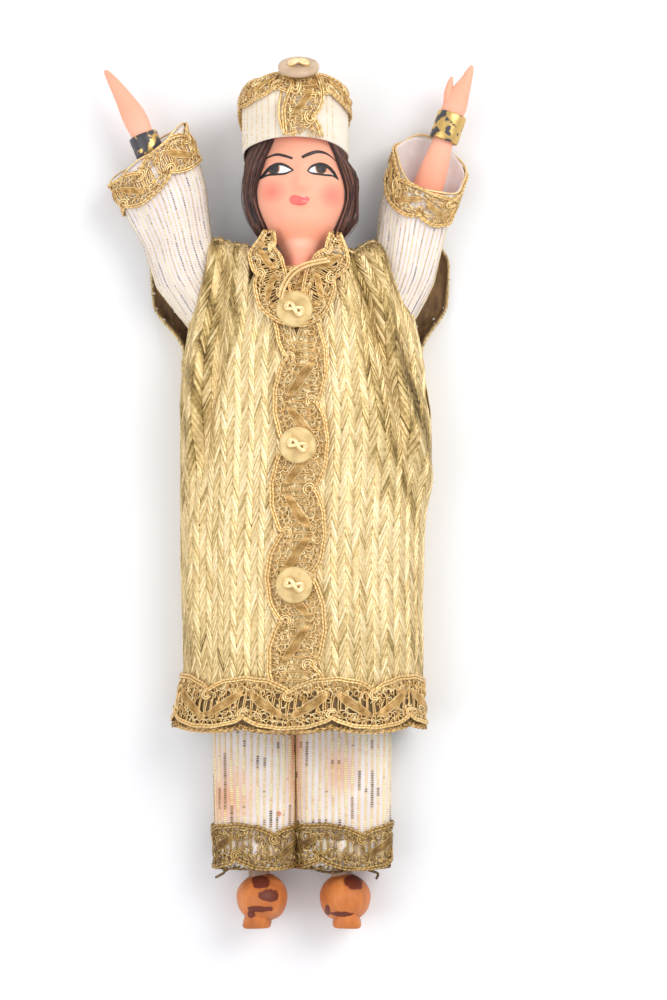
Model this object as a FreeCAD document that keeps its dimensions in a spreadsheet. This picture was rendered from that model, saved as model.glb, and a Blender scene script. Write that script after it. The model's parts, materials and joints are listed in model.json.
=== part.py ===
import FreeCAD, Part
import math
import os
import re

import Sketcher
from FreeCAD import Placement, Rotation, Vector

# A string puppet lying on its back, in millimetres.
# +Z is out of its chest, +Y towards its head and +X towards its own left hand.
# The origin is on the flat back of the robe, on the puppet's centre line.

os.makedirs("parts", exist_ok=True)
doc = FreeCAD.newDocument("marionette")

DIMENSIONS = [
    # alias, value, what it is
    ("body_axis_height", 11.2, "height of the shoulders, hips and limbs above the back"),
    ("fit_gap", 0.05, "radial clearance of a pin or dowel in its bore"),
    ("cloth_thickness", 1.2, "robe and cap cloth with its lining"),
    ("lace_thickness", 1.0, "lace sewn on the cloth"),
    ("robe_top", 80.0, "shoulder edge of the robe"),
    ("robe_bottom", -54.0, "where the robe meets its hem lace"),
    ("robe_half_width", 36.0, "half the width of the robe"),
    ("robe_corner", 13.0, "radius between the robe's flat back and its front"),
    ("robe_depth_top", 25.0, "robe from back to front at the shoulders"),
    ("robe_depth_bottom", 34.0, "robe from back to front at the hem"),
    ("front_half_width", 28.5, "half the front panels at the foot of the armholes"),
    ("shoulder_half_width", 24.5, "half the front panels at the shoulders"),
    ("armhole_bottom", 48.0, "lowest point of the armholes"),
    ("collar_seam", 74.5, "where the robe meets the neck"),
    ("collar_seam_half_width", 19.5, "half the lowered part of the robe's top edge"),
    ("hem_lace_depth", 14.0, "hem lace along the robe"),
    ("hem_lace_flare", 1.2, "how much wider the hem lace is at its free edge"),
    ("placket_half_width", 8.6, "half the lace strip down the front"),
    ("placket_top", 51.0, "top of the lace strip down the front"),
    ("button_radius", 5.5, "coat button"),
    ("button_thickness", 2.2, "coat button"),
    ("button_hole_radius", 0.75, "thread hole in a button"),
    ("button_hole_offset", 1.5, "thread hole from the button's centre"),
    ("thread_radius", 0.6, "thread through a button"),
    ("torso_thickness", 12.0, "torso block, back to front"),
    ("shoulder_x", 24.0, "shoulder pin from the centre line"),
    ("shoulder_y", 53.0, "shoulder pins"),
    ("shoulder_round", 5.0, "rounded shoulder of the torso block"),
    ("hip_x", 12.5, "leg from the centre line"),
    ("hip_y", -13.5, "hip pin"),
    ("pelvis_half_width", 7.4, "torso block between the legs"),
    ("neck_pin_y", 58.0, "pin that the head nods on"),
    ("neck_axis_height", 15.0, "neck peg above the back"),
    ("neck_stub_half_width", 9.0, "torso block beside the neck peg"),
    ("neck_stub_top", 62.5, "torso block beside the neck peg"),
    ("neck_peg_radius", 3.0, "neck peg"),
    ("pin_radius", 1.0, "neck, shoulder and hip pins"),
    ("tongue_thickness", 4.0, "flat end of the upper arm"),
    ("tongue_radius", 4.0, "round end of the upper arm"),
    ("slot_gap", 0.3, "clearance on each side of a tongue in its slot"),
    ("arm_radius", 3.5, "upper arm dowel"),
    ("elbow_reach", 28.0, "shoulder pin to elbow pin"),
    ("lap_tongue_half", 1.3, "half the thickness of an elbow or knee tongue"),
    ("lap_tongue_radius", 3.1, "round end of an elbow or knee tongue"),
    ("lap_shoulder", 5.4, "elbow or knee pin to the full section beyond it"),
    ("lap_pin_radius", 0.8, "elbow and knee pins"),
    ("forearm_radius", 3.1, "forearm at the wrist"),
    ("bracelet_thickness", 1.0, "bracelet wall"),
    ("bracelet_length", 6.0, "bracelet along the arm"),
    ("right_arm_angle", 22.4, "right arm from straight up"),
    ("left_arm_angle", 19.1, "left arm from straight up"),
    ("right_wrist", 59.1, "shoulder pin to the middle of the bracelet"),
    ("left_wrist", 63.3, "shoulder pin to the middle of the bracelet"),
    ("thigh_radius", 4.0, "thigh dowel"),
    ("knee_reach", 60.0, "hip pin to knee pin"),
    ("shin_radius", 3.2, "shin dowel"),
    ("ankle_reach", 103.5, "hip pin to the end of the shin dowel in the shoe"),
    ("trouser_half_width", 11.6, "half the width of a trouser leg"),
    ("trouser_half_depth", 7.0, "half the depth of a trouser leg"),
    ("trouser_top", 14.0, "hip pin to the gathered top of a trouser leg"),
    ("trouser_end", 84.5, "hip pin to the trouser lace"),
    ("trouser_lace_length", 13.5, "trouser lace along the leg"),
    ("shoe_half_width", 7.6, "half the width of a shoe"),
    ("shoe_half_height", 8.6, "half the height of a shoe, heel to ankle"),
    ("shoe_half_length", 10.8, "half the length of a shoe, heel to toe"),
    ("shoe_reach", 106.8, "hip pin to the middle of the shoe"),
    ("sole_thickness", 1.8, "shoe sole"),
    ("head_height", 16.6, "middle of the head above the back"),
    ("neck_radius", 5.8, "neck of the head"),
    ("neck_bottom", 67.0, "lower edge of the neck"),
    ("cap_shift", -1.5, "middle of the cap from the centre line"),
    ("cap_height", 16.8, "middle of the cap above the back"),
    ("cap_radius", 15.6, "cap"),
    ("cap_corner", 8.0, "rounded edge of the crown"),
    ("cap_shoulder", 118.6, "where the side of the cap starts to round over"),
    ("cap_rim", 102.6, "rim of the cap at its sides"),
    ("cap_tilt", 16.0, "how far the cap is tipped back"),
    ("cap_button_tilt", 32.0, "how far the cap button leans forward"),
    ("cap_button_radius", 6.2, "button on the cap"),
]

sheet = doc.addObject("Spreadsheet::Sheet", "Dimensions")
for row, (alias, amount, meaning) in enumerate(DIMENSIONS, 1):
    sheet.set(f"A{row}", meaning)
    sheet.set(f"B{row}", str(amount))
    sheet.setAlias(f"B{row}", alias)
doc.recompute()
ALIASES = {alias for alias, amount, meaning in DIMENSIONS}

SIDES = {"right": -1, "left": 1}
subparts = []


# ---- helpers -------------------------------------------------------------

def size(alias):
    """The number in the sheet's cell of that name."""
    return float(sheet.get(alias))


def bind(thing, prop, formula):
    """Drive a property from the sheet; the formula uses the bare names of its cells."""
    def cell(match):
        word = match.group()
        return f"Dimensions.{word}" if word in ALIASES else word
    thing.setExpression(prop, re.sub(r"[A-Za-z_]+", cell, str(formula)))


def place(thing, corner):
    for letter, formula in zip("xyz", corner):
        bind(thing, f"Placement.Base.{letter}", formula)


def rod(name, radius, length, start, along):
    """A round bar from start, running along +x, +y or +z."""
    turns = {"x": Rotation(Vector(0, 1, 0), 90), "y": Rotation(Vector(1, 0, 0), -90), "z": Rotation()}
    thing = doc.addObject("Part::Cylinder", name)
    thing.Placement = Placement(Vector(), turns[along])
    bind(thing, "Radius", radius)
    bind(thing, "Height", length)
    place(thing, start)
    return thing


def block(name, lengths, corner):
    thing = doc.addObject("Part::Box", name)
    for prop, formula in zip(("Length", "Width", "Height"), lengths):
        bind(thing, prop, formula)
    place(thing, corner)
    return thing


def dome(name, radius, centre, towards):
    """A hemisphere that rounds off the end of a dowel, towards +y (1) or -y (-1)."""
    thing = doc.addObject("Part::Sphere", name)
    thing.Placement = Placement(Vector(), Rotation(Vector(1, 0, 0), -90 * towards))
    thing.Angle1 = 0
    bind(thing, "Radius", radius)
    place(thing, centre)
    return thing


def join(name, pieces):
    thing = doc.addObject("Part::MultiFuse", name)
    thing.Shapes = pieces
    return thing


def carve(name, base, tools):
    """The base with every tool cut out of it."""
    thing = doc.addObject("Part::Cut", name)
    thing.Base = base
    thing.Tool = tools[0] if len(tools) == 1 else join(f"{name}_tools", tools)
    return thing


def keep(node, thing):
    """This object is a finished sub-part, and the node's name is its label."""
    thing.Label = node
    subparts.append(thing)
    return thing


def keep_shape(node, shape, placement=None):
    """A soft or carved form made with Part's own functions."""
    thing = doc.addObject("Part::Feature", node)
    thing.Shape = shape
    if placement is not None:
        thing.Placement = placement
    return keep(node, thing)


def origin_plane(body, role):
    return [plane for plane in body.Origin.OriginFeatures if plane.Role == role][0]


def outline_sketch(body, name, corners):
    """A closed outline on the XY plane; each corner is a pair of formulas tied to the sheet."""
    sketch = body.newObject("Sketcher::SketchObject", name)
    sketch.AttachmentSupport = [(origin_plane(body, "XY_Plane"), "")]
    sketch.MapMode = "FlatFace"
    points = [Vector(add_up(x), add_up(y), 0) for x, y in corners]
    count = len(points)
    for index, point in enumerate(points):
        sketch.addGeometry(Part.LineSegment(point, points[(index + 1) % count]), False)
    for index in range(count):
        sketch.addConstraint(Sketcher.Constraint("Coincident", index, 2, (index + 1) % count, 1))
    for index, (x, y) in enumerate(corners):
        for kind, formula, value in (("DistanceX", x, points[index].x), ("DistanceY", y, points[index].y)):
            number = sketch.addConstraint(Sketcher.Constraint(kind, -1, 1, index, 1, value))
            bind(sketch, f"Constraints[{number}]", formula)
    return sketch


def add_up(formula):
    """The value of a formula that is cells and numbers joined by + and -."""
    total = 0.0
    for sign, word in re.findall(r"([+-]?)\s*([A-Za-z_]+|[\d.]+)", formula):
        amount = size(word) if word in ALIASES else float(word)
        total += -amount if sign == "-" else amount
    return total


def circle_sketch(body, name, radius, centres):
    sketch = body.newObject("Sketcher::SketchObject", name)
    sketch.AttachmentSupport = [(origin_plane(body, "XY_Plane"), "")]
    sketch.MapMode = "FlatFace"
    for index, across in enumerate(centres):
        where = Vector(add_up(across), 0, 0)
        sketch.addGeometry(Part.Circle(where, Vector(0, 0, 1), size(radius)), False)
        sketch.addConstraint(Sketcher.Constraint("PointOnObject", index, 3, -1))
        number = sketch.addConstraint(Sketcher.Constraint("DistanceX", -1, 1, index, 3, where.x))
        bind(sketch, f"Constraints[{number}]", across)
        number = sketch.addConstraint(Sketcher.Constraint("Radius", index, size(radius)))
        bind(sketch, f"Constraints[{number}]", radius)
    return sketch


def ellipse(centre, across, through):
    """An ellipse square to the Y axis, its half sizes along X and Z."""
    wide = centre + Vector(across, 0, 0)
    deep = centre + Vector(0, 0, through)
    curve = Part.Ellipse(wide, deep, centre) if across >= through else Part.Ellipse(deep, wide, centre)
    return Part.Wire([curve.toShape()])


def ellipse_loft(sections):
    """A solid from ellipse to ellipse, each (x, y, z, half width, half depth)."""
    wires = [ellipse(Vector(x, y, z), across, through) for x, y, z, across, through in sections]
    return Part.makeLoft(wires, True, True)


def egg(centre, across, along, through, low, high, steps=8):
    """An egg cut off square at both ends, low and high in degrees from its widest section."""
    sections = []
    for step in range(steps + 1):
        turn = math.radians(low + (high - low) * step / steps)
        ring = math.cos(turn)
        sections.append((centre.x, centre.y + along * math.sin(turn), centre.z, across * ring, through * ring))
    return ellipse_loft(sections)


def prism(corners, low, high):
    """An upright prism on a closed outline in X and Y."""
    points = [Vector(x, y, low) for x, y in corners]
    face = Part.Face(Part.makePolygon(points + points[:1]))
    return face.extrude(Vector(0, 0, high - low))


def slab(low, high, spread=200.0):
    """A thick layer between two heights along Y, wider than the whole puppet."""
    return Part.makeBox(2 * spread, high - low, 2 * spread, Vector(-spread, low, -spread))


# ---- the robe's form, used by its panels and lace ---------------------------

def robe_depth(y):
    """Height of the robe's front above its back at a place along the body."""
    low, high = size("robe_bottom"), size("robe_top")
    share = (y - low) / (high - low)
    return size("robe_depth_bottom") + share * (size("robe_depth_top") - size("robe_depth_bottom"))


def robe_outline(y, grow, back):
    """The robe's section: flat back, round corners and an arched front."""
    half = size("robe_half_width") + grow
    corner = size("robe_corner") + grow
    crown = robe_depth(y) + grow
    step = corner * (1 - math.sqrt(0.5))

    def at(x, z):
        return Vector(x, y, z)

    edges = [Part.LineSegment(at(corner - half, back), at(half - corner, back)).toShape()]
    edges.append(Part.Arc(at(half - corner, back), at(half - step, back + step), at(half, back + corner)).toShape())
    edges.append(Part.Arc(at(half, back + corner), at(0, crown), at(-half, back + corner)).toShape())
    edges.append(Part.Arc(at(-half, back + corner), at(step - half, back + step), at(corner - half, back)).toShape())
    return Part.Wire(edges)


def robe_form(low, high, grow=0.0, back=0.0, flare=0.0):
    wires = [robe_outline(low, grow + flare, back), robe_outline(high, grow, back)]
    return Part.makeLoft(wires, True, True)


def neck_opening():
    """The V cut out of the front at the throat."""
    return prism([(-10, 81), (10, 81), (0, 60)], 8, 60)


def robe_shell():
    """The whole robe before it is cut into its panels."""
    cloth = size("cloth_thickness")
    low, high = size("robe_bottom"), size("robe_top")
    outer = robe_form(low, high)
    shell = outer.cut(robe_form(low - 1, high + 1, -cloth, cloth))
    seam, reach = size("collar_seam"), size("collar_seam_half_width")
    shell = shell.cut(Part.makeBox(2 * reach, 20, 60, Vector(-reach, seam, -1)))
    for side in SIDES.values():
        foot, top = size("armhole_bottom"), high + 1
        outline = [(size("front_half_width"), foot), (size("shoulder_half_width"), top), (70, top), (70, foot)]
        armhole = prism([(side * x, y) for x, y in outline], cloth, 60)
        shell = shell.cut(armhole)
    yoke = outer.common(Part.makeBox(2 * reach, cloth, 60, Vector(-reach, seam - cloth, 0)))
    yoke = yoke.cut(Part.makeBox(19, 10, 60, Vector(-9.5, seam - 5, 4.5)))
    return shell.fuse(yoke).cut(neck_opening())


def back_flap(side):
    """The back panel's cloth that spreads out behind the arm."""
    outline = [(34, 46), (41.5, 58), (44.5, 72), (44, 78), (30, 80), (28, 50)]
    return prism([(side * x, y) for x, y in outline], 0, size("cloth_thickness"))


def make_robe():
    shell = robe_shell()
    side_seam = size("robe_corner")
    low = size("robe_bottom") - 1
    back = shell.common(Part.makeBox(100, 140, side_seam, Vector(-50, low, 0)))
    for side in SIDES.values():
        back = back.fuse(back_flap(side))
    keep_shape("robe_back", back.removeSplitter())
    for name, side in SIDES.items():
        half = Part.makeBox(50, 140, 60, Vector(min(0, 50 * side), low, side_seam))
        keep_shape(f"robe_front_{name}", shell.common(half))


def make_hem_lace():
    low = size("robe_bottom") - size("hem_lace_depth")
    lace = size("lace_thickness")
    flare = size("hem_lace_flare")
    outer = robe_form(low, size("robe_bottom"), lace, 0, flare)
    inner = robe_form(low - 1, size("robe_bottom") + 1, -0.2, lace, flare)
    keep_shape("hem_lace", outer.cut(inner))


def placket_outline():
    """The front strip's outline: a row of scallops down each side."""
    half = size("placket_half_width")
    neck = half - 1.6
    top, bottom = size("placket_top"), size("robe_bottom")
    count = 5
    pitch = (top - bottom) / count
    edges = []
    for side, order in ((1, range(count)), (-1, reversed(range(count)))):
        for index in order:
            high, low = top - index * pitch, top - (index + 1) * pitch
            start, end = (high, low) if side > 0 else (low, high)
            middle = Vector(side * half, (high + low) / 2, 0)
            edges.append(Part.Arc(Vector(side * neck, start, 0), middle, Vector(side * neck, end, 0)).toShape())
        turn = bottom if side > 0 else top
        edges.append(Part.LineSegment(Vector(side * neck, turn, 0), Vector(-side * neck, turn, 0)).toShape())
    return Part.Face(Part.Wire(edges))


def make_front_lace():
    """The lace down the front and the lace collar, both lying on the robe."""
    low, high = size("robe_bottom"), size("robe_top")
    skin = robe_form(low, high, size("lace_thickness"), 0).cut(robe_form(low - 1, high + 1))
    front = placket_outline().extrude(Vector(0, 0, 60))
    keep_shape("placket_lace", skin.common(front))
    for_collar = [(-12.5, 79), (-16.5, 66), (-9, 57), (-5, 51.2), (5, 51.2), (9, 57), (16.5, 68), (13.5, 79),
                  (7.5, 70), (0, 62), (-7, 70)]
    keep_shape("collar_lace", skin.common(prism(for_collar, 10, 60)))


def make_coat_buttons():
    """Two-hole buttons down the front, each sewn on with a loop of thread."""
    lean = math.degrees(math.atan((size("robe_depth_bottom") - size("robe_depth_top"))
                                  / (size("robe_top") - size("robe_bottom"))))
    for name, across, along in (("top", -1.6, 56.7), ("middle", -0.6, 16.2), ("bottom", -1.6, -25.2)):
        seat = robe_depth(along) + size("lace_thickness") + size("fit_gap")
        where = Placement(Vector(across, along, seat), Rotation(Vector(1, 0, 0), -lean))
        make_button(f"button_{name}", where, "button_radius")
        make_thread(f"button_thread_{name}", where)


def make_button(node, where, radius):
    body = doc.addObject("PartDesign::Body", f"{node}_body")
    disc = body.newObject("PartDesign::Pad", f"{node}_disc")
    disc.Profile = circle_sketch(body, f"{node}_round", radius, ["0"])
    bind(disc, "Length", "button_thickness")
    doc.recompute()
    holes = body.newObject("PartDesign::Pocket", f"{node}_holes")
    holes.Profile = circle_sketch(body, f"{node}_pair", "button_hole_radius",
                                  ["button_hole_offset", "-button_hole_offset"])
    bind(holes, "Length", "button_thickness")
    holes.Reversed = True
    doc.recompute()
    if holes.Shape.Volume > disc.Shape.Volume - 1:
        raise ValueError(f"the holes of {node} cut nothing")
    rim = body.newObject("PartDesign::Fillet", f"{node}_rim")
    round_edges = [f"Edge{number}" for number, edge in enumerate(holes.Shape.Edges, 1)
                   if hasattr(edge.Curve, "Radius") and edge.Curve.Radius > size("button_hole_radius") + 1
                   and edge.Vertexes and abs(edge.BoundBox.ZLength) < 0.01]
    rim.Base = (holes, round_edges)
    rim.Radius = 0.7
    body.Tip = rim
    body.Placement = where
    return keep(node, body)


def make_thread(node, where):
    """A loop of thread over the two holes, with its legs in them."""
    legs = [rod(f"{node}_leg_{index}", "thread_radius", "button_thickness", (across, "0", "0"), "z")
            for index, across in enumerate(("button_hole_offset", "-button_hole_offset"))]
    bridge = doc.addObject("Part::Torus", f"{node}_bridge")
    bind(bridge, "Radius1", "button_hole_offset")
    bind(bridge, "Radius2", "thread_radius")
    bridge.Angle3 = 180
    bridge.Placement = Placement(Vector(), Rotation(Vector(1, 0, 0), 90))
    bind(bridge, "Placement.Base.z", "button_thickness")
    loop = join(f"{node}_loop", legs + [bridge])
    loop.Placement = where
    return keep(node, loop)


# ---- the carved torso and its pins ----------------------------------------

def make_torso():
    body = doc.addObject("PartDesign::Body", "torso_body")
    right_half = [
        ("neck_stub_half_width", "neck_stub_top"),
        ("neck_stub_half_width", "shoulder_y + shoulder_round"),
        ("shoulder_x + shoulder_round", "shoulder_y + shoulder_round"),
        ("shoulder_x + shoulder_round", "38"),
        ("17", "12"),
        ("15", "-6"),
        ("pelvis_half_width", "-6"),
        ("pelvis_half_width", "hip_y - 5"),
    ]
    mirrored = [(f"-{x}".replace(" + ", " - "), y) for x, y in reversed(right_half)]
    pad = body.newObject("PartDesign::Pad", "torso_pad")
    pad.Profile = outline_sketch(body, "torso_outline", right_half + mirrored)
    bind(pad, "Length", "torso_thickness")
    pad.Midplane = True
    doc.recompute()
    corner = size("shoulder_x") + size("shoulder_round")
    shoulder_edges = [f"Edge{number}" for number, edge in enumerate(pad.Shape.Edges, 1)
                      if abs(abs(edge.CenterOfMass.x) - corner) < 0.01
                      and abs(edge.CenterOfMass.y - size("shoulder_y") - size("shoulder_round")) < 0.01]
    rounded = body.newObject("PartDesign::Fillet", "torso_shoulders")
    rounded.Base = (pad, shoulder_edges)
    bind(rounded, "Radius", "shoulder_round - 0.01")
    doc.recompute()
    faces = [f"Face{number}" for number, face in enumerate(rounded.Shape.Faces, 1)
             if abs(abs(face.CenterOfMass.z) - size("torso_thickness") / 2) < 0.01]
    eased = body.newObject("PartDesign::Chamfer", "torso_eased")
    eased.Base = (rounded, faces)
    eased.Size = 1.2
    body.Tip = eased
    place(body, ("0", "0", "body_axis_height"))
    tools = []
    for name, side in SIDES.items():
        slot_x = "17" if side > 0 else "-17 - 14"
        half = "(tongue_thickness / 2 + slot_gap)"
        tools.append(block(f"{name}_shoulder_slot", ("14", "14", f"2 * {half}"),
                           (slot_x, "shoulder_y - 7", f"body_axis_height - {half}")))
        tools.append(rod(f"{name}_shoulder_hole", "pin_radius", "torso_thickness",
                         (f"{side} * shoulder_x", "shoulder_y", "body_axis_height - torso_thickness / 2 + 0.8"), "z"))
    tools.append(block("neck_slot", ("4", "12", "30"), ("-2", "neck_pin_y - 4.5", "0")))
    tools.append(rod("neck_pin_hole", "pin_radius", "2 * neck_stub_half_width - 0.4",
                     ("0.2 - neck_stub_half_width", "neck_pin_y", "neck_axis_height"), "x"))
    tools.append(rod("hip_pin_hole", "pin_radius", "2 * pelvis_half_width + 2",
                     ("-pelvis_half_width - 1", "hip_y", "body_axis_height"), "x"))
    keep("torso_block", carve("torso_cut", body, tools))


def make_torso_pins():
    keep("neck_pin", rod("neck_pin_rod", "pin_radius", "2 * neck_stub_half_width - 0.4",
                         ("0.2 - neck_stub_half_width", "neck_pin_y", "neck_axis_height"), "x"))
    for name, side in SIDES.items():
        start = (f"{side} * shoulder_x", "shoulder_y", "body_axis_height - torso_thickness / 2 + 0.8")
        keep(f"{name}_shoulder_pin", rod(f"{name}_shoulder_rod", "pin_radius", "torso_thickness - 0.8", start, "z"))
    reach = "(hip_x + thigh_radius + 0.8)"
    wire = rod("hip_wire", "pin_radius", f"2 * {reach}", (f"-{reach}", "hip_y", "body_axis_height"), "x")
    heads = [rod(f"hip_head_{name}", "2", "0.8", (f"{side} * {reach} - 0.4", "hip_y", "body_axis_height"), "x")
             for name, side in SIDES.items()]
    keep("hip_pin", join("hip_pin_join", [wire] + heads))


def make_neck_peg():
    """The peg rocks on the neck pin, and its knob holds the head on."""
    disc = rod("peg_disc", "2.8", "3.4", ("-1.7", "neck_pin_y", "neck_axis_height"), "x")
    bar = block("peg_bar", ("3.4", "9", "5.2"), ("-1.7", "neck_pin_y", "neck_axis_height - 2.6"))
    stem = rod("peg_stem", "neck_peg_radius", "22", ("0", "neck_pin_y + 7", "neck_axis_height"), "y")
    knob = rod("peg_knob", "4.2", "2.5", ("0", "neck_pin_y + 27.8", "neck_axis_height"), "y")
    bore = rod("peg_bore", "pin_radius + fit_gap", "6", ("-3", "neck_pin_y", "neck_axis_height"), "x")
    keep("neck_peg", carve("neck_peg_cut", join("peg_join", [disc, bar, stem, knob]), [bore]))


# ---- head, hair and cap -----------------------------------------------------

def head_solid():
    """The moulded head without its hollow: chin, cheeks, crown and neck."""
    middle = size("head_height")
    skull = ellipse_loft([
        (0, 79.6, middle + 2.6, 4.6, 5.6),
        (0, 81.2, middle + 2.0, 8.0, 9.2),
        (0, 84.0, middle + 1.0, 10.8, 11.9),
        (0, 88.0, middle + 0.3, 12.9, 13.6),
        (0, 93.0, middle, 13.7, 14.2),
        (0, 98.0, middle, 13.3, 14.0),
        (0, 103.0, middle, 12.2, 13.3),
        (0, 108.0, middle - 0.2, 11.2, 12.3),
        (0, 113.0, middle - 0.4, 8.6, 9.6),
        (0, 116.5, middle - 0.5, 4.6, 5.2),
    ])
    along = size("neck_bottom")
    neck = Part.makeCylinder(size("neck_radius"), 16, Vector(0, along, size("neck_axis_height")), Vector(0, 1, 0))
    return skull.fuse(neck)


def stretched_ball(radius, centre, across, along, through):
    """An ellipsoid from its half sizes along X, Y and Z."""
    matrix = FreeCAD.Matrix()
    matrix.scale(across / radius, along / radius, through / radius)
    shape = Part.makeSphere(radius).transformGeometry(matrix)
    shape.translate(centre)
    return shape


def make_head():
    solid = head_solid()
    hollow = egg(Vector(0, 97, size("head_height")), 10.3, 14, 11, -75, 75)
    bore = Part.makeCylinder(size("neck_peg_radius") + size("fit_gap"), 25,
                             Vector(0, size("neck_bottom") - 1, size("neck_axis_height")), Vector(0, 1, 0))
    keep_shape("head_shell", solid.cut(hollow).cut(bore))
    make_hair(solid)


def make_hair(head):
    """Hair round the sides and back of the head, up to the cap."""
    mass = stretched_ball(10, Vector(0, 99, size("cap_height")), 17.2, 20.5, 16.2)
    window = Part.makeCylinder(13.0, 30, Vector(0, 92, 19), Vector(0, 0, 1))
    window = window.fuse(Part.makeBox(26, 24, 30, Vector(-13, 68, 19)))
    under_cap = cap_form(0.1).fuse(slab(118, 140)).common(above_tilted_plane(size("cap_rim"), size("cap_tilt")))
    hair = mass.cut(head).cut(window).cut(under_cap).cut(slab(60, 79.5))
    keep_shape("hair", biggest(hair))


def biggest(shape):
    return max(shape.Solids, key=lambda solid: solid.Volume)


def cap_form(grow):
    """The cap as a filled solid of revolution about its own upright line."""
    radius = size("cap_radius") + grow
    corner = size("cap_corner") + grow
    shoulder = size("cap_shoulder")
    flat = size("cap_radius") - size("cap_corner")
    low = 80.0 - grow
    slant = math.sqrt(0.5) * corner
    edges = [
        Part.LineSegment(Vector(0, low, 0), Vector(radius, low, 0)),
        Part.LineSegment(Vector(radius, low, 0), Vector(radius, shoulder, 0)),
        Part.Arc(Vector(radius, shoulder, 0), Vector(flat + slant, shoulder + slant, 0),
                 Vector(flat, shoulder + corner, 0)),
        Part.LineSegment(Vector(flat, shoulder + corner, 0), Vector(0, shoulder + corner + 0.6, 0)),
        Part.LineSegment(Vector(0, shoulder + corner + 0.6, 0), Vector(0, low, 0)),
    ]
    face = Part.Face(Part.Wire([edge.toShape() for edge in edges]))
    solid = face.revolve(Vector(0, 0, 0), Vector(0, 1, 0), 360)
    solid.translate(Vector(size("cap_shift"), 0, size("cap_height")))
    return solid


def above_tilted_plane(along, tilt, reach=60.0):
    """Everything on the crown's side of a plane that leans back about the cap's middle."""
    box = Part.makeBox(2 * reach, reach, 2 * reach, Vector(-reach, 0, -reach))
    box.rotate(Vector(), Vector(1, 0, 0), tilt)
    box.translate(Vector(0, along, size("cap_height")))
    return box


def make_cap():
    cloth = size("cloth_thickness")
    lace = size("lace_thickness")
    crown = cap_form(0).cut(cap_form(-cloth)).common(above_tilted_plane(size("cap_rim"), size("cap_tilt")))
    keep_shape("cap", crown)
    skin = cap_form(lace).cut(cap_form(0))
    band = skin.common(above_tilted_plane(114.5, 24))
    drop = Part.makeBox(11.8, 40, 40, Vector(-5.2, 107.9, size("cap_height")))
    keep_shape("cap_band_lace", band.cut(drop))
    keep_shape("cap_front_lace", skin.common(drop))


def make_cap_button():
    """A button on the front edge of the crown, with the loop of thread that a string ties to."""
    lean = size("cap_button_tilt")
    reach = size("cap_corner") + size("lace_thickness") + 1.4
    flat = size("cap_radius") - size("cap_corner")
    along = size("cap_shoulder") + reach * math.cos(math.radians(lean))
    up = size("cap_height") + flat + reach * math.sin(math.radians(lean))
    where = Placement(Vector(-0.3, along, up), Rotation(Vector(1, 0, 0), lean - 90))
    make_button("cap_button", where, "cap_button_radius")
    make_thread("cap_button_thread", where)


# ---- arms --------------------------------------------------------------------

ARM_SECTIONS = {
    # along the arm, outward from its line, half width, half depth
    "right": {"hand": [(60.8, 0, 2.8, 2.75), (66, 0.2, 3.5, 2.9), (70, 0.4, 3.3, 2.4), (75, 1.0, 2.5, 1.9),
                       (80, 1.8, 1.7, 1.4), (84.6, 2.8, 0.8, 0.7)],
              "sleeve": [(9, 1.0, 7.4, 5.9), (25, 2.4, 9.0, 5.8), (44, -0.5, 13.2, 8.4), (66, 1.6, 14.3, 9.0)],
              "lean": (9, 0)},
    "left": {"hand": [(65.0, 0, 2.8, 2.75), (69, -0.1, 3.6, 2.8), (73, 0.0, 3.3, 2.3), (78, 0.3, 2.1, 1.7),
                      (83.4, 0.5, 0.8, 0.7)],
             "sleeve": [(9, 0.8, 7.2, 5.9), (22, 1.5, 8.9, 5.7), (40, -1.1, 10.9, 8.4), (66, -1.7, 11.5, 9.0)],
             "lean": (0, 38)},
}


def arm_placement(name):
    side = SIDES[name]
    where = Vector(side * size("shoulder_x"), size("shoulder_y"), size("body_axis_height"))
    return Placement(where, Rotation(Vector(0, 0, 1), -side * size(f"{name}_arm_angle")))


def pose_arm(thing, name):
    """Puts a piece made about the shoulder, its arm along +Y, where the arm lies."""
    side = SIDES[name]
    thing.Placement = arm_placement(name)
    place(thing, (f"{side} * shoulder_x", "shoulder_y", "body_axis_height"))
    bind(thing, "Placement.Rotation.Angle", f"{-side} * {name}_arm_angle")
    return thing


def make_upper_arm(name):
    tongue = "tongue_thickness"
    disc = rod(f"{name}_arm_disc", "tongue_radius", tongue, ("0", "0", "-tongue_thickness / 2"), "z")
    bar = block(f"{name}_arm_bar", ("6", "9", tongue), ("-3", "0", "-tongue_thickness / 2"))
    dowel = rod(f"{name}_arm_dowel", "arm_radius", "elbow_reach - 6.8", ("0", "6.8", "0"), "y")
    end = dome(f"{name}_arm_end", "arm_radius", ("0", "elbow_reach", "0"), 1)
    bore = rod(f"{name}_arm_bore", "pin_radius + fit_gap", "6", ("0", "0", "-3"), "z")
    slot = block(f"{name}_elbow_slot", ("2 * (lap_tongue_half + slot_gap)", "12", "10"),
                 ("-(lap_tongue_half + slot_gap)", "elbow_reach - 4.4", "-5"))
    hole = rod(f"{name}_elbow_hole", "lap_pin_radius", "2 * arm_radius - 0.4",
               ("0.2 - arm_radius", "elbow_reach", "0"), "x")
    arm = carve(f"{name}_upper_arm_cut", join(f"{name}_arm_join", [disc, bar, dowel, end]), [bore, slot, hole])
    keep(f"{name}_upper_arm", pose_arm(arm, name))
    reach = size("arm_radius") - 0.3
    pin = Part.makeCylinder(size("lap_pin_radius"), 2 * reach, Vector(-reach, size("elbow_reach"), 0), Vector(1, 0, 0))
    keep_shape(f"{name}_elbow_pin", pin, arm_placement(name))


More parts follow.
